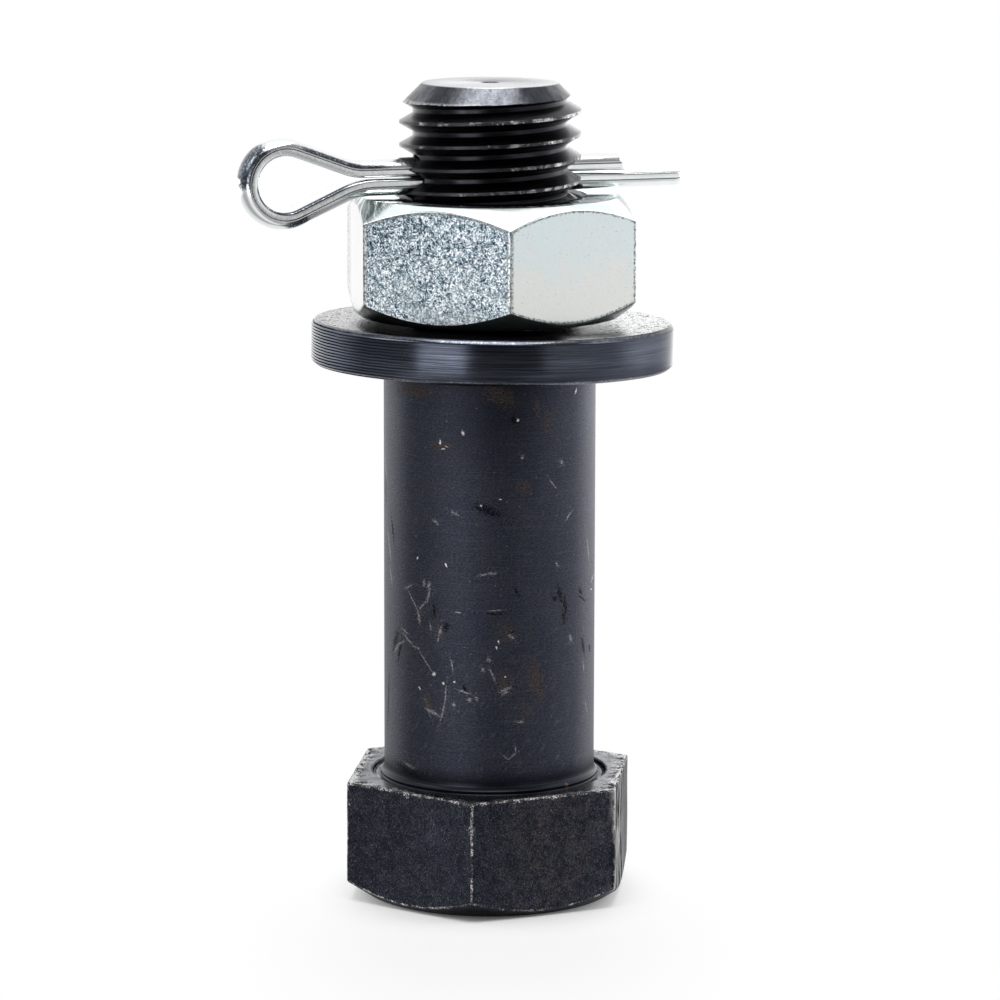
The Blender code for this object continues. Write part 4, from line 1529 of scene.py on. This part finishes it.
    def needles(self, g: SurfaceGraph, flat: Term, turns: Sequence[float], share: float) -> Term:
        """Fine straight crystals that lie in several directions.

        Args:
            g: the graph.
            flat: flat coordinates in millimetres.
            turns: direction of each set of crystals.
            share: how much of the surface one set covers.

        Returns:
            1 on the crystals, 0 between them.
        """
        sets = []
        for turn in turns:
            kind, middle = g.cells(g.scaled(flat, self.crystal_size, turn), 1.0)
            sets.append(kind.between(0.97 - share, 1.03 - share) * middle.between(0.75, 0.45))
        return reduce(Term.most, sets)


@dataclass(frozen=True)
class ZincWireSkin:
    """Bright drawn wire of the split pin, lightly scratched, with painted dark reflections on its eye and arms."""

    # Middles of the painted dark reflections on the eye and on the arm.
    dark_reflection_eye: Place = (-32.8, -1.2, 97.7)
    dark_reflection_arm: Place = (-26.6, -1.5, 90.6)
    nick_place: Place = (-33.5, 0.0, 95.6)
    nick_squeeze: float = 2.4
    seam_mm: float = 1.02
    zinc: Colour = (0.88, 0.90, 0.905)
    soft_zinc: Colour = (0.79, 0.82, 0.825)
    speck: Colour = (0.25, 0.25, 0.25)
    # Blue-black of the painted dark reflections.
    painted_dark_reflection: Colour = (0.040, 0.055, 0.080)
    seam_dark: Colour = (0.035, 0.037, 0.04)
    nick: Colour = (0.93, 0.93, 0.93)

    def make(self) -> bpy.types.Material:
        """Draw the finish.

        Returns:
            The material.
        """
        g = SurfaceGraph("bright_zinc_wire")
        place = g.laid()
        x, _, z = g.split(place)
        fine = g.clouds(place, 3.2, 5.0, 0.7)
        coarse = g.clouds(place, 0.6, 3.0, 0.6)
        drawn = g.clouds(g.scaled(place, (0.4, 6.0, 6.0)), 1.0, 3.0, 0.7)
        jag = fine - 0.5
        up = g.stored(HalfRoundWire.ACROSS)
        back = up.between(1.1, 1.3)
        seam = (g.math("ABSOLUTE", up - self.seam_mm) + jag * 0.14).between(0.12, 0.03)
        rim = (up + jag * 0.04).between(0.015, 0.03) * (up + jag * 0.12).between(0.16, 0.07)
        lines = seam.most(rim * 0.7)
        # Painted dark reflections on the eye, on the arm and along the upper arm's round back, painted shade on the
        # lower arm's inner edge near the eye, and dark specks along the prongs' seam.
        eye = (g.away_from(place, self.dark_reflection_eye) - jag * 2.6).between(3.5, 2.6)
        arm = (g.away_from(place, self.dark_reflection_arm) - jag * 1.6).between(2.0, 1.2)
        dark_reflection_band = (up - jag * 0.5).between(1.08, 1.16) * (up + jag * 0.5).between(1.85, 1.7)
        dark_reflection_band = dark_reflection_band * x.between(-27.5, -25.0) * x.between(-13.5, -16.0) * z.between(95.7, 96.2)
        prongs = seam * (x - 10.0).between(0.0, 2.0) * fine.between(0.45, 0.6)
        inner = (up - jag * 0.04).between(0.012, 0.02) * (up + jag * 0.3).between(0.42, 0.30)
        inner = inner * x.between(-34.5, -33.0) * x.between(-18.0, -21.0) * z.between(95.2, 94.6)
        painted_dark_reflection = eye.most(arm).most(dark_reflection_band).most(prongs) * back.most(seam)
        painted_dark_reflection = painted_dark_reflection.most(inner * fine.between(0.30, 0.44))
        squeezed = g.scaled(place, (1.0, 1.0, self.nick_squeeze))
        across, forward, high = self.nick_place
        nick = g.away_from(squeezed, (across, forward, high * self.nick_squeeze)) + jag * 1.2
        colour = g.coats(
            g.blend(coarse, self.zinc, self.soft_zinc),
            ((fine - 0.6).between(0.0, 0.14) * 0.35, self.speck),
            (painted_dark_reflection * (0.70 + 0.30 * fine.between(0.40, 0.50)) * 0.95, self.painted_dark_reflection),
            (lines * 0.8, self.seam_dark),
            (nick.between(1.3, 0.9) * back, self.nick))
        return g.finish(colour, 0.12 + 0.10 * fine + 0.05 * drawn, 1.0,
                        g.relief(fine * 0.004 + coarse * 0.02 + drawn * 0.003 - lines * 0.02))


# ---------------------------------------------------------------- pieces


@dataclass
class Bolt:
    """The bolt as one piece: forged hex head, ground shank, cut thread, drilled cross-hole."""

    across_flats: float = 0.0355
    head_height: float = 0.016
    head_turn: float = math.radians(5.9)
    head_chamfer_height: float = 0.0026
    head_chamfer_angle: float = math.radians(34)
    head_corner_round: float = 0.00025
    head_edge: float = 0.0002
    head_sway: float = 0.00007
    end_face_share: float = 0.6
    groove_outer: float = 0.01555
    groove_depth: float = 0.0004
    groove_edge: float = 0.00008
    shank_radius: float = 0.01395
    foot_flare: float = 0.0006
    foot_height: float = 0.0012
    shoulder: float = 0.0699
    shoulder_chamfer: float = 0.0004
    top: float = 0.1075
    thread_radius: float = 0.011875
    thread_depth: float = 0.00174
    half_crest: float = 0.0002
    relief_radius: float = 0.009835
    relief_top: float = 0.0734
    end_radius: float = 0.008875
    chamfer_height: float = 0.0034
    chamfer_margin: float = 0.00006
    centre_radius: float = 0.0011
    centre_depth: float = 0.0009
    hole_level: float = 0.095611
    hole_radius: float = 0.00275
    hole_mouth: float = 0.00365
    hole_break: float = 0.0009
    hole_columns: int = 64
    crease_degrees: float = 32.0
    columns: int = 192
    lengths_mm: tuple[float, ...] = (16.0, 24.0, 29.0, 33.5, 37.5, 41.0, 46.0, 56.0, 70.0)

    def build(self) -> None:
        """Make, dress and hand over the bolt."""
        finishes = [ForgedBlackSteel().make(), TurnedSteel().make(),
                    BlackThreadSteel(crest_mm=self.thread_radius / MM).make(), ScrewEndSteel().make()]
        finishes += [GroundBlackSteel(low, high).make()
                     for low, high in zip(self.lengths_mm, self.lengths_mm[1:])]
        shell = Shell()
        forged, turned, thread, end, ground = range(5)
        chamfer_width = self.head_chamfer_height / math.tan(self.head_chamfer_angle)
        face_radius = self.across_flats / math.sqrt(3) - chamfer_width
        bar = HexBar(self.across_flats, self.head_turn, self.head_corner_round, 0.0, self.head_height,
                     (face_radius, self.head_chamfer_angle), None, edge=self.head_edge, sway=self.head_sway)
        lower, upper, angles = bar.rings(shell, forged, forged)
        inner = shell.ring(angles, face_radius * self.end_face_share, 0.0)
        shell.cap(inner, 0.0, forged, up=False)
        shell.skin(inner, lower, forged)
        face = self.face_rings(shell, upper, angles, bar, turned)
        stem = self.stem_rings(shell, face, turned, ground)
        rule = ScrewThread(Side.ROD, self.thread_radius, self.thread_depth, self.half_crest,
                           self.shoulder, self.top, end_radius=self.end_radius,
                           relief_radius=self.relief_radius, relief_top=self.relief_top)
        rim = shell.absorb(rule.mesh(finishes[thread]), thread)
        shell.skin(stem, rim(self.shoulder), turned)
        self.end_face(shell, rim(self.top), end)
        self.chamfer_slots(shell, thread, end)
        piece = shell.object("rod_bolt_body", finishes)
        self.drill(piece, finishes[thread])
        smooth_shade(piece, self.crease_degrees)
        hand_over(piece, "bolt")

    def face_rings(self, shell: Shell, upper: Ring, angles: list[float], bar: HexBar, slot: int) -> Ring:
        """The bearing face from the hexagon's edge to the groove.

        Args:
            shell: the skin.
            upper: the hexagon's upper ring.
            angles: its azimuths.
            bar: the head's rule.
            slot: material slot of the face.

        Returns:
            The groove's outer ring.
        """
        _, radii, _ = bar.columns()
        last = upper
        for step in (0.3, 0.8, 1.4):
            ring = shell.ring(angles, [radius - step * MM for radius in radii], self.head_height, step - 0.1)
            shell.skin(last, ring, slot)
            last = ring
        outer = shell.ring(circle(self.columns), self.groove_outer + self.groove_edge, self.head_height)
        shell.skin(last, outer, slot)
        return outer

    def stem_rings(self, shell: Shell, face: Ring, turned: int, ground: int) -> Ring:
        """Groove, flared foot, ground shank and its upper edge.

        Args:
            shell: the skin.
            face: the groove's outer ring.
            turned: material slot of the groove and the foot.
            ground: material slot of the shank's lowest length.

        Returns:
            The shoulder's outer ring.
        """
        z, depth = self.head_height, self.groove_depth
        foot = self.shank_radius + self.foot_flare
        outline = [(self.groove_outer, z - 0.00006, turned),
                   (self.groove_outer - 0.00012, z - depth * 0.8, turned),
                   (self.groove_outer - 0.0003, z - depth, turned), (foot - 0.00005, z - depth, turned),
                   (foot - 0.0002, z - depth * 0.55, turned), (foot - 0.00018, z - 0.00002, turned),
                   (foot - 0.00012, z + 0.0001, turned)]
        for step in range(1, 9):
            part = math.pi / 2 * (1 - step / 8)
            outline.append((self.shank_radius + (self.foot_flare - 0.00012) * (1 - math.cos(part)),
                            z + 0.0001 + (self.foot_height - 0.0001) * (1 - math.sin(part)), turned))
        top = self.shoulder - self.shoulder_chamfer
        for number, high in enumerate(self.lengths_mm[1:]):
            low = max(self.lengths_mm[number] * MM, z + self.foot_height)
            high = min(high * MM, top)
            for step in (1, 2):
                outline.append((self.shank_radius, low + (high - low) * step / 2, ground + number))
        edge, last_length = self.shoulder_chamfer, ground + len(self.lengths_mm) - 2
        outline += [(self.shank_radius - 0.12 * edge, top + 0.5 * edge, last_length),
                    (self.shank_radius - 0.45 * edge, top + 0.88 * edge, last_length),
                    (self.shank_radius - edge, self.shoulder, turned)]
        return shell.strip(face, circle(self.columns), outline)

    def end_face(self, shell: Shell, rim: Ring, slot: int) -> None:
        """The flat end with its centre mark.

        Args:
            shell: the skin.
            rim: the thread's upper rim.
            slot: material slot of the end.
        """
        angles = [math.atan2(shell.points[i].y, shell.points[i].x) for i in rim]
        outline = [(self.end_radius - 0.0002, self.top, slot), (self.centre_radius + 0.0001, self.top, slot),
                   (self.centre_radius, self.top - 0.00006, slot),
                   (0.0004, self.top - self.centre_depth * 0.65, slot)]
        last = shell.strip(rim, angles, outline)
        shell.cap(last, self.top - self.centre_depth, slot, up=True)

    def chamfer_slots(self, shell: Shell, thread: int, end: int) -> None:
        """Give the faces of the thread's end chamfer the finish of the end.

        Args:
            shell: the skin.
            thread: material slot of the thread.
            end: material slot of the end.
        """
        for index, face in enumerate(shell.faces):
            if shell.slots[index] != thread:
                continue
            spots = [shell.points[i] for i in face]
            middle = sum(spots, Vector()) / len(spots)
            inside = self.end_radius + self.top - middle.z - math.hypot(middle.x, middle.y)
            if inside < self.chamfer_margin and middle.z > self.top - self.chamfer_height:
                shell.slots[index] = end

    def drill(self, piece: bpy.types.Object, finish: bpy.types.Material) -> None:
        """Cut the cross-hole for the split pin, with its edges broken.

        Args:
            piece: the bolt.
            finish: material of the hole.
        """
        cutter = Shell()
        steps = circle(self.hole_columns)
        inner = self.thread_radius - self.hole_break
        outer = self.thread_radius + self.hole_break
        outline = [(self.hole_mouth, -outer), (self.hole_radius, -inner), (self.hole_radius, inner),
                   (self.hole_mouth, outer)]
        rings = [cutter.ring(steps, radius, height) for radius, height in outline]
        cutter.cap(rings[0], -outer, 0, up=False)
        for first, second in zip(rings, rings[1:]):
            cutter.skin(first, second, 0)
        cutter.cap(rings[-1], outer, 0, up=True)
        seat = Matrix.Translation((0.0, 0.0, self.hole_level)) @ Matrix.Rotation(math.pi / 2, 4, "Y")
        tool = cutter.object("hole_cutter", (finish,), seat)
        step = piece.modifiers.new("cross_hole", "BOOLEAN")
        step.operation = "DIFFERENCE"
        step.solver = "EXACT"
        step.material_mode = "TRANSFER"
        step.object = tool
        cut = plain_mesh(piece)
        piece.modifiers.clear()
        piece.data = cut
        bpy.data.objects.remove(tool, do_unlink=True)


@dataclass
class Washer:
    """The thick turned washer, tilted on the shoulder."""

    bore: float = 0.012475
    rim: float = 0.0238
    thickness: float = 0.0058
    corner: float = 0.00055
    level: float = 0.07051519
    tilt: float = math.radians(1.5)
    low_side: float = math.radians(35.6)
    shift: float = 0.00032
    shift_side: float = math.radians(-18)
    softness: float = 0.00012
    bore_edge: float = 0.0002
    face_ring: float = 0.006
    crease_degrees: float = 34.0
    columns: int = 256

    def seat(self) -> Matrix:
        """Where the washer lies.

        Returns:
            Its shift and tilt.
        """
        axis = Vector((0.0, 0.0, 1.0)).cross(Vector((math.cos(self.low_side), math.sin(self.low_side), 0.0)))
        place = (self.shift * math.cos(self.shift_side), self.shift * math.sin(self.shift_side), self.level)
        return Matrix.Translation(place) @ Matrix.Rotation(self.tilt, 4, axis)

    def outline(self) -> list[Point]:
        """Its section from the bore below, round the rim, to the bore above.

        Returns:
            Radius and height of each point.
        """
        rim, edge, top, bore, soft = self.rim, self.corner, self.thickness, self.bore, self.softness
        lower = [(bore, self.bore_edge), (bore + self.bore_edge, 0.0), (rim - self.face_ring, 0.0),
                 (rim - edge - soft, 0.0),
                 (rim - edge + 0.3 * soft, 0.3 * soft), (rim - 0.4 * edge, 0.55 * edge),
                 (rim - 0.3 * soft, edge - 0.3 * soft), (rim, edge + soft)]
        return lower + [(rim, top / 2)] + [(radius, top - height) for radius, height in reversed(lower)]

    def build(self) -> None:
        """Make, dress and hand over the washer."""
        shell = Shell()
        rings = [shell.ring(circle(self.columns), radius, height) for radius, height in self.outline()]
        for first, second in zip(rings, rings[1:] + rings[:1]):
            shell.skin(first, second, 0)
        seat = self.seat()
        piece = shell.object("turned_washer", (TurnedBlackWasher(seat).make(),), seat)
        smooth_shade(piece, self.crease_degrees)
        hand_over(piece, "washer")


@dataclass
class HexNut:
    """The hex nut, chamfered at both faces, with its inner thread."""

    across_flats: float = 0.0355
    height: float = 0.01575
    level: float = 0.07716132
    turn: float = math.radians(19.6)
    chamfer_height: float = 0.0026
    chamfer_angle: float = math.radians(37)
    bore: float = 0.010435
    groove_radius: float = 0.012175
    groove_half: float = 0.00037321
    entry: float = 0.012575
    corner_round: float = 0.0003
    edge: float = 0.00012
    thread_softness: float = 0.00005
    thread_columns: int = 96
    thread_rows: int = 16
    flat_reach: float = math.radians(29)
    crease_degrees: float = 30.0

    def build(self) -> None:
        """Make, dress and hand over the nut."""
        finishes = tuple(ZincSkin(look).make() for look in ZincLook)
        smooth, crystals, chamfer, thread = range(4)
        shell = Shell()
        top = self.level + self.height
        face_radius = self.across_flats / math.sqrt(3) - self.chamfer_height / math.tan(self.chamfer_angle)
        cone = (face_radius, self.chamfer_angle)
        bar = HexBar(self.across_flats, self.turn, self.corner_round, self.level, top, cone, cone,
                     edge=self.edge)
        lower, upper, _ = bar.rings(shell, smooth, chamfer)
        rule = ScrewThread(Side.BORE, self.groove_radius, self.groove_radius - self.bore, self.groove_half,
                           self.level, top, softness=self.thread_softness,
                           root_softness=self.thread_softness, entry_radius=self.entry,
                           columns=self.thread_columns, rows_per_turn=self.thread_rows)
        rim = shell.absorb(rule.mesh(finishes[thread]), thread)
        shell.skin(rim(self.level), lower, chamfer)
        shell.skin(upper, rim(top), chamfer)
        self.choose_flat(shell, smooth, crystals)
        piece = shell.object("hex_nut_body", finishes)
        smooth_shade(piece, self.crease_degrees)
        hand_over(piece, "hex_nut")

    def choose_flat(self, shell: Shell, smooth: int, crystals: int) -> None:
        """Give the flat that stood in the weather its etched finish.

        Args:
            shell: the skin.
            smooth: material slot of the flats.
            crystals: material slot of the etched flat.
        """
        for index, face in enumerate(shell.faces):
            if shell.slots[index] == smooth:
                middle = sum((shell.points[i] for i in face), Vector())
                turn = math.remainder(math.atan2(middle.y, middle.x) - ZincSkin.etched_flat, math.tau)
                if abs(turn) < self.flat_reach:
                    shell.slots[index] = crystals


@dataclass
class SplitPin:
    """The split pin: one half-round wire folded into an eye and two legs of unlike length."""

    level: float = 0.09561132
    leg_gap: float = 0.0002
    eye_radius: float = 0.00362
    eye_distance: float = 0.02812
    eye_droop: float = 0.00043
    upper_bend: Point = (0.0176, 0.0085)
    lower_bend: Point = (0.0162, 0.0112)
    short_prong: float = 0.0182
    long_prong: float = 0.02605
    prong_start: float = 0.0125
    prong_drop: float = 0.00015
    prong_slimming: float = 0.9
    slim_end: float = 0.0222
    nose_length: float = 0.0011
    nose_slope: float = 0.38
    nose_above: float = 0.0002
    short_leg_mm: tuple[float, ...] = (14.0, 9.0, 3.0, -3.0, -9.0, -14.0)
    long_leg_mm: tuple[float, ...] = (-12.0, -5.0, 3.0, 9.0)
    nose: tuple[Point, ...] = ((0.0, 0.72), (0.00012, 0.84), (0.0003, 0.93), (0.0006, 0.985), (0.001, 1.0))
    bend_steps: int = 14
    arm_steps: int = 6
    eye_steps: int = 48
    prong_steps: int = 5
    crease_degrees: float = 34.0
    wire: HalfRoundWire = field(default_factory=HalfRoundWire)

    def arm(self, bend: Point, side: int) -> tuple[list[Point], float]:
        """One arm's inner line from its straight leg to the eye, and its lean.

        Args:
            bend: where the bend starts and its radius.
            side: 1 above the axis, -1 below it.

        Returns:
            The points and the arm's lean.
        """
        start, radius = bend
        centre = (-start, side * (self.leg_gap / 2 + radius))
        along = centre[0] + self.eye_distance
        across = side * (centre[1] + self.eye_droop)
        lean = math.asin((radius + self.eye_radius) / math.hypot(along, across)) - math.atan2(across, along)
        turns = [lean * step / self.bend_steps for step in range(self.bend_steps + 1)]
        points = [(centre[0] - radius * math.sin(turn), centre[1] - side * radius * math.cos(turn))
                  for turn in turns]
        touch = (-self.eye_distance + self.eye_radius * math.sin(lean),
                 -self.eye_droop + side * self.eye_radius * math.cos(lean))
        last, count = points[-1], self.arm_steps
        points += [(last[0] + (touch[0] - last[0]) * step / count, last[1] + (touch[1] - last[1]) * step / count)
                   for step in range(1, count)]
        return points, lean

    def path(self) -> list[Place]:
        """The folded wire's inner line, from prong to prong.

        Returns:
            Each point as (along, up, section scale).
        """
        upper, upper_lean = self.arm(self.upper_bend, 1)
        lower, lower_lean = self.arm(self.lower_bend, -1)
        start, end = math.pi / 2 - upper_lean, 1.5 * math.pi + lower_lean
        turns = [start + (end - start) * step / self.eye_steps for step in range(self.eye_steps + 1)]
        eye = [(-self.eye_distance + self.eye_radius * math.cos(turn),
                -self.eye_droop + self.eye_radius * math.sin(turn)) for turn in turns]
        half_gap = self.leg_gap / 2
        short = [(self.short_prong - back, half_gap, scale) for back, scale in self.nose]
        short += [(x * MM, half_gap, 1.0) for x in self.short_leg_mm]
        folded = [(along, up, 1.0) for along, up in upper + eye + list(reversed(lower))]
        low = -half_gap - self.prong_drop
        long = [(x * MM, -half_gap, 1.0) for x in self.long_leg_mm] + [(self.prong_start, -half_gap, 1.0)]
        for step in range(1, self.prong_steps + 1):
            part = step / self.prong_steps
            ease = part * part * (3 - 2 * part)
            long.append((self.prong_start + (self.short_prong - self.prong_start) * part,
                         -half_gap - self.prong_drop * ease, 1.0 + (self.prong_slimming - 1.0) * ease))
        long.append((self.slim_end, low, self.prong_slimming))
        long += [(self.long_prong - back, low, scale * self.prong_slimming)
                 for back, scale in reversed(self.nose)]
        return short + folded + long

    def build(self) -> None:
        """Make, dress and hand over the pin."""
        mesh = self.wire.mesh(self.path(), self.level, ZincWireSkin().make())
        body = bmesh.new()
        body.from_mesh(mesh)
        bmesh.ops.remove_doubles(body, verts=body.verts, dist=WELD)
        for vertex in body.verts:
            above = vertex.co.z - self.level - self.nose_above
            along = vertex.co.x - self.short_prong + self.nose_length
            if along > 0.0 and above > 0.0:
                vertex.co.x -= self.nose_slope * above * along / self.nose_length
        bmesh.ops.recalc_face_normals(body, faces=body.faces)
        body.to_mesh(mesh)
        body.free()
        piece = show("split_pin_wire", mesh)
        smooth_shade(piece, self.crease_degrees)
        hand_over(piece, "split_pin")


# ---------------------------------------------------------------- studio


@dataclass
class Studio:
    """Pale floor, soft light and the camera at the photograph's angle."""

    camera_place: Place = (-0.18685, -0.57955, 0.15797)
    pitch: float = math.radians(9.841)
    roll: float = math.radians(0.119)
    turn: float = math.radians(-18)
    lens_mm: float = 168.379
    lamp_aim: Place = (0.0, 0.0, 0.055)
    floor_level: float = -0.00002
    floor_rings: tuple[float, ...] = (0.03, 0.1, 0.4, 1.2, 3.0)
    floor_columns: int = 96
    floor_tone: Colour = (0.73, 0.73, 0.735)

    def camera(self) -> None:
        """Set up the camera where the photograph was taken from."""
        data = bpy.data.cameras.new("camera")
        data.lens = self.lens_mm
        data.sensor_width = 36.0
        data.clip_start = 0.01
        made = show("camera", data)
        ahead = Vector((0.0, math.cos(self.pitch), -math.sin(self.pitch)))
        up = Vector((0.0, math.sin(self.pitch), math.cos(self.pitch)))
        right = Vector((1.0, 0.0, 0.0))
        level = right * math.cos(self.roll) + up * math.sin(self.roll)
        upright = up * math.cos(self.roll) - right * math.sin(self.roll)
        spin = Matrix.Rotation(self.turn, 3, "Z")
        axes = Matrix([spin @ level, spin @ upright, spin @ -ahead]).transposed()
        made.matrix_world = Matrix.Translation(self.camera_place) @ axes.to_4x4()
        bpy.context.scene.camera = made

    def round_light(self, g: Graph, direction: Term, reach: "Term | float", beyond: "Term | float") -> Term:
        """How bright the room is to each side, as reflections show it.

        Args:
            g: the graph.
            direction: a direction or a place on the floor.
            reach: 0 on the floor close by, 1 far away.
            beyond: 1 where the paper ends, still farther away.

        Returns:
            The brightness, where 1 is white paper.
        """
        x, y, _ = g.split(g.turned(direction, -FACING))
        angle = g.math("DEGREES", g.math("ARCTAN2", y, x))
        left_lamp = angle.between(-50.0, -44.0) * angle.between(-15.0, -18.0)
        far_left = angle.between(-44.0, -50.0) * angle.between(-130.0, -100.0)
        right = angle.between(30.0, 35.0)
        behind = angle.between(-88.0, -122.0)
        far = 0.19 + left_lamp * 3.1 + far_left * (0.6 - 0.42 * beyond) + right * 0.83 + behind * 1.4
        far = far + angle.between(78.0, 105.0) * 1.4
        near = 0.42 + angle.between(-70.0, -50.0) * angle.between(-8.0, -22.0) * 0.5
        near = near + angle.between(5.0, 40.0) * 0.22 + angle.between(50.0, 80.0) * 0.4 + behind * 0.5
        return near + (far - near) * reach

    def world(self) -> None:
        """A room that is white to the camera and shaded to the light and the reflections."""
        world = bpy.data.worlds.new("room")
        bpy.context.scene.world = world
        world.use_nodes = True
        g = Graph(world.node_tree)
        direction = g.term("ShaderNodeTexCoord", "Generated", {})
        x, y, up = g.split(direction)
        back = g.front_of(x, y).between(0.10, -0.20)
        sides = self.round_light(g, direction, 1.0, 1.0)
        overhead = up.between(0.12, 0.5)
        room = sides * (1.0 - overhead) + overhead * (0.30 + 1.05 * back)
        seen = g.term("ShaderNodeLightPath", "Is Camera Ray", {})
        shader = g.node("ShaderNodeBackground")
        g.feed(shader.inputs["Strength"], seen + (1.0 - seen) * room)
        output = g.node("ShaderNodeOutputWorld")
        g.tree.links.new(shader.outputs[0], output.inputs["Surface"])

    def floor(self) -> None:
        """The pale floor: plain near the object, whose shadow it keeps, and glowing farther out, with a soft shadow
        painted into the glow in front of the object.
        """
        shell = Shell()
        rings = [shell.ring(circle(self.floor_columns), radius, self.floor_level) for radius in self.floor_rings]
        shell.cap(rings[0], self.floor_level, 0, up=True)
        for first, second in zip(rings, rings[1:]):
            shell.skin(second, first, 0)
        g = SurfaceGraph("pale_floor")
        place = g.laid()
        x, y, _ = g.split(place)
        front = g.front_of(x, y).between(-5.0, 30.0)
        across = g.math("ABSOLUTE", g.right_of(x, y))
        radius = g.far_off(x, y)
        sides = self.round_light(g, place, radius.between(280.0, 420.0), radius.between(440.0, 540.0))
        seen = g.term("ShaderNodeLightPath", "Is Camera Ray", {})
        far = (radius + (1.0 - front) * 8.0).between(18.0, 32.0)
        glow = g.node("ShaderNodeEmission")
        # Painted shadow: the glow that the camera sees is dimmed in a soft patch in front of the object.
        pale = 1.0 - 0.085 * front * across.between(36.0, 6.0) * radius.between(90.0, 25.0)
        g.feed(glow.inputs["Strength"], seen * pale + (1.0 - seen) * sides)
        mix = g.node("ShaderNodeMixShader")
        g.feed(mix.inputs[0], far)
        g.tree.links.new(g.shader.outputs[0], mix.inputs[1])
        g.tree.links.new(glow.outputs[0], mix.inputs[2])
        g.tree.links.new(mix.outputs[0], g.output.inputs["Surface"])
        finish = g.finish(self.floor_tone, 0.8, 0.0)
        shell.object("floor", (finish,))

    def lamp(self, name: str, azimuth: float, elevation: float, distance: float, size: float,
             watts: float) -> None:
        """A soft square lamp that looks at the object.

        Args:
            name: its name.
            azimuth: degrees to the right of the camera.
            elevation: degrees above the floor.
            distance: metres from the object.
            size: side of the square.
            watts: its power.
        """
        data = bpy.data.lights.new(name, "AREA")
        data.size = size
        data.energy = watts
        made = show(name, data)
        around, above = FACING + math.radians(azimuth), math.radians(elevation)
        away = Vector((math.cos(around) * math.cos(above), math.sin(around) * math.cos(above),
                       math.sin(above)))
        turned = (-away).to_track_quat("-Z", "Y").to_matrix().to_4x4()
        made.matrix_world = Matrix.Translation(Vector(self.lamp_aim) + away * distance) @ turned

    def build(self) -> None:
        """Set up the whole studio."""
        bpy.context.scene.view_settings.view_transform = "Standard"
        self.camera()
        self.world()
        self.floor()
        self.lamp("top_softbox", azimuth=-8.0, elevation=80.0, distance=1.3, size=0.95, watts=17.0)
        self.lamp("left_softbox", azimuth=-75.0, elevation=35.0, distance=1.3, size=0.6, watts=3.0)
        self.lamp("right_softbox", azimuth=85.0, elevation=35.0, distance=1.4, size=0.6, watts=3.0)
        log.info("studio ready")


def main() -> None:
    """Build the part in order."""
    logging.basicConfig(level=logging.INFO, format="%(name)s: %(message)s")
    Studio().build()
    Bolt().build()
    Washer().build()
    HexNut().build()
    SplitPin().build()
    log.info("sizes written")


if __name__ == "__main__":
    main()
